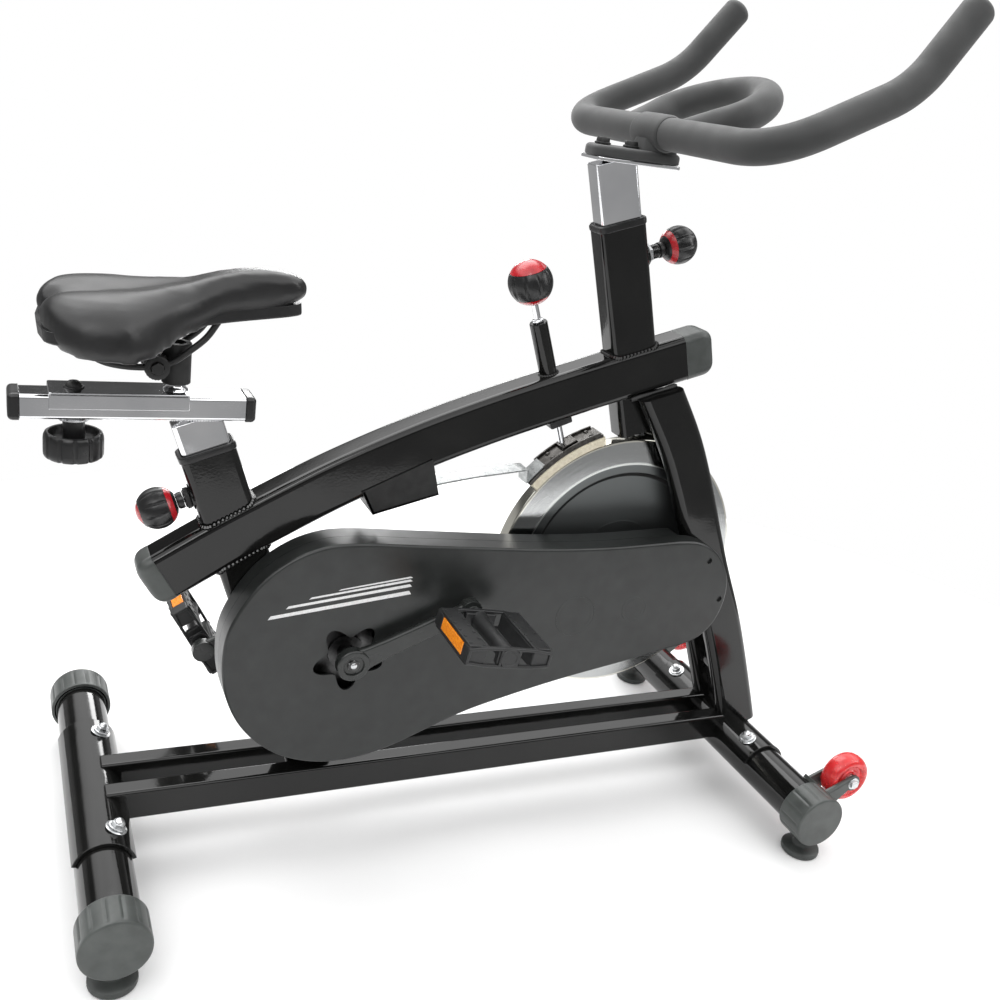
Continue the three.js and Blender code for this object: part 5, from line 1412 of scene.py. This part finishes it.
def softbox(name, at, toward, size, power, size_y=None, diffuse=True):
    light = bpy.data.lights.new(name, "AREA")
    light.energy = power
    light.shape = "RECTANGLE"
    light.size, light.size_y = size, size_y or size
    obj = bpy.data.objects.new(name, light)
    bpy.context.scene.collection.objects.link(obj)
    obj.location = at
    obj.rotation_euler = (Vector(toward) - Vector(at)).to_track_quat("-Z", "Y").to_euler()
    obj.visible_diffuse = diffuse
    return obj


softbox("overhead", (-0.3, 1.6, 3.2), (0.0, 0.0, 0.4), 3.4, 60, 2.2)
softbox("near_strip", (-1.6, -2.2, 2.6), (0, 0, 0.5), 0.5, 16, 2.4, diffuse=False)
softbox("side_strip", (2.6, -1.4, 1.9), (0, 0, 0.5), 0.4, 14, 2.0, diffuse=False)
softbox("back_rim", (0.8, 3.4, 1.5), (0, 0, 0.6), 1.2, 24, 0.6, diffuse=False)

world = bpy.data.worlds.new("studio")
bpy.context.scene.world = world
world.use_nodes = True
wn, wl = world.node_tree.nodes, world.node_tree.links
background = wn["Background"]
direction = wn.new("ShaderNodeTexCoord").outputs["Generated"]
split = wn.new("ShaderNodeSeparateXYZ")
wl.new(direction, split.inputs[0])
height = wn.new("ShaderNodeMapRange")
wl.new(split.outputs["Z"], height.inputs["Value"])
height.inputs["From Min"].default_value, height.inputs["From Max"].default_value = -1, 1
sky = wn.new("ShaderNodeValToRGB")
stops = ((0.0, 0.40), (0.49, 0.35), (0.505, 0.35), (0.56, 0.30), (0.61, 0.08), (0.69, 0.08), (0.73, 1.6), (0.80,
        2.2), (1.0, 1.5))
while len(sky.color_ramp.elements) < len(stops):
    sky.color_ramp.elements.new(0.5)
for element, (position, value) in zip(sky.color_ramp.elements, stops):
    element.position = position
    element.color = (value, value, value, 1)
wl.new(height.outputs["Result"], sky.inputs["Fac"])
plain = wn.new("ShaderNodeMix")
plain.data_type = "RGBA"
path = wn.new("ShaderNodeLightPath")
wl.new(path.outputs["Is Camera Ray"], plain.inputs["Factor"])
wl.new(sky.outputs["Color"], plain.inputs["A"])
plain.inputs["B"].default_value = (1.0, 1.0, 1.0, 1)
wl.new(plain.outputs["Result"], background.inputs["Color"])
background.inputs["Strength"].default_value = 1.0

# camera: its own right, down and forward axes, then its place
camera = bpy.data.cameras.new("camera")
camera.lens = 38.779
camera.sensor_width = 36
camera.clip_start = 0.02
eye = bpy.data.objects.new("camera", camera)
bpy.context.scene.collection.objects.link(eye)
right, down, ahead = V(0.90524205, -0.40031997, 0.14241048), V(-0.02144091, -0.37777603,
        -0.92564872), V(0.42435494, 0.83488274, -0.35056198)
eye.matrix_world = Matrix((
    (right.x, -down.x, -ahead.x, -0.100628549 - ORIGIN_X / 1000),
    (right.y, -down.y, -ahead.y, -1.14052907),
    (right.z, -down.z, -ahead.z, 0.921236433),
    (0, 0, 0, 1),
))
bpy.context.scene.camera = eye
bpy.context.scene.view_settings.view_transform = "Standard"
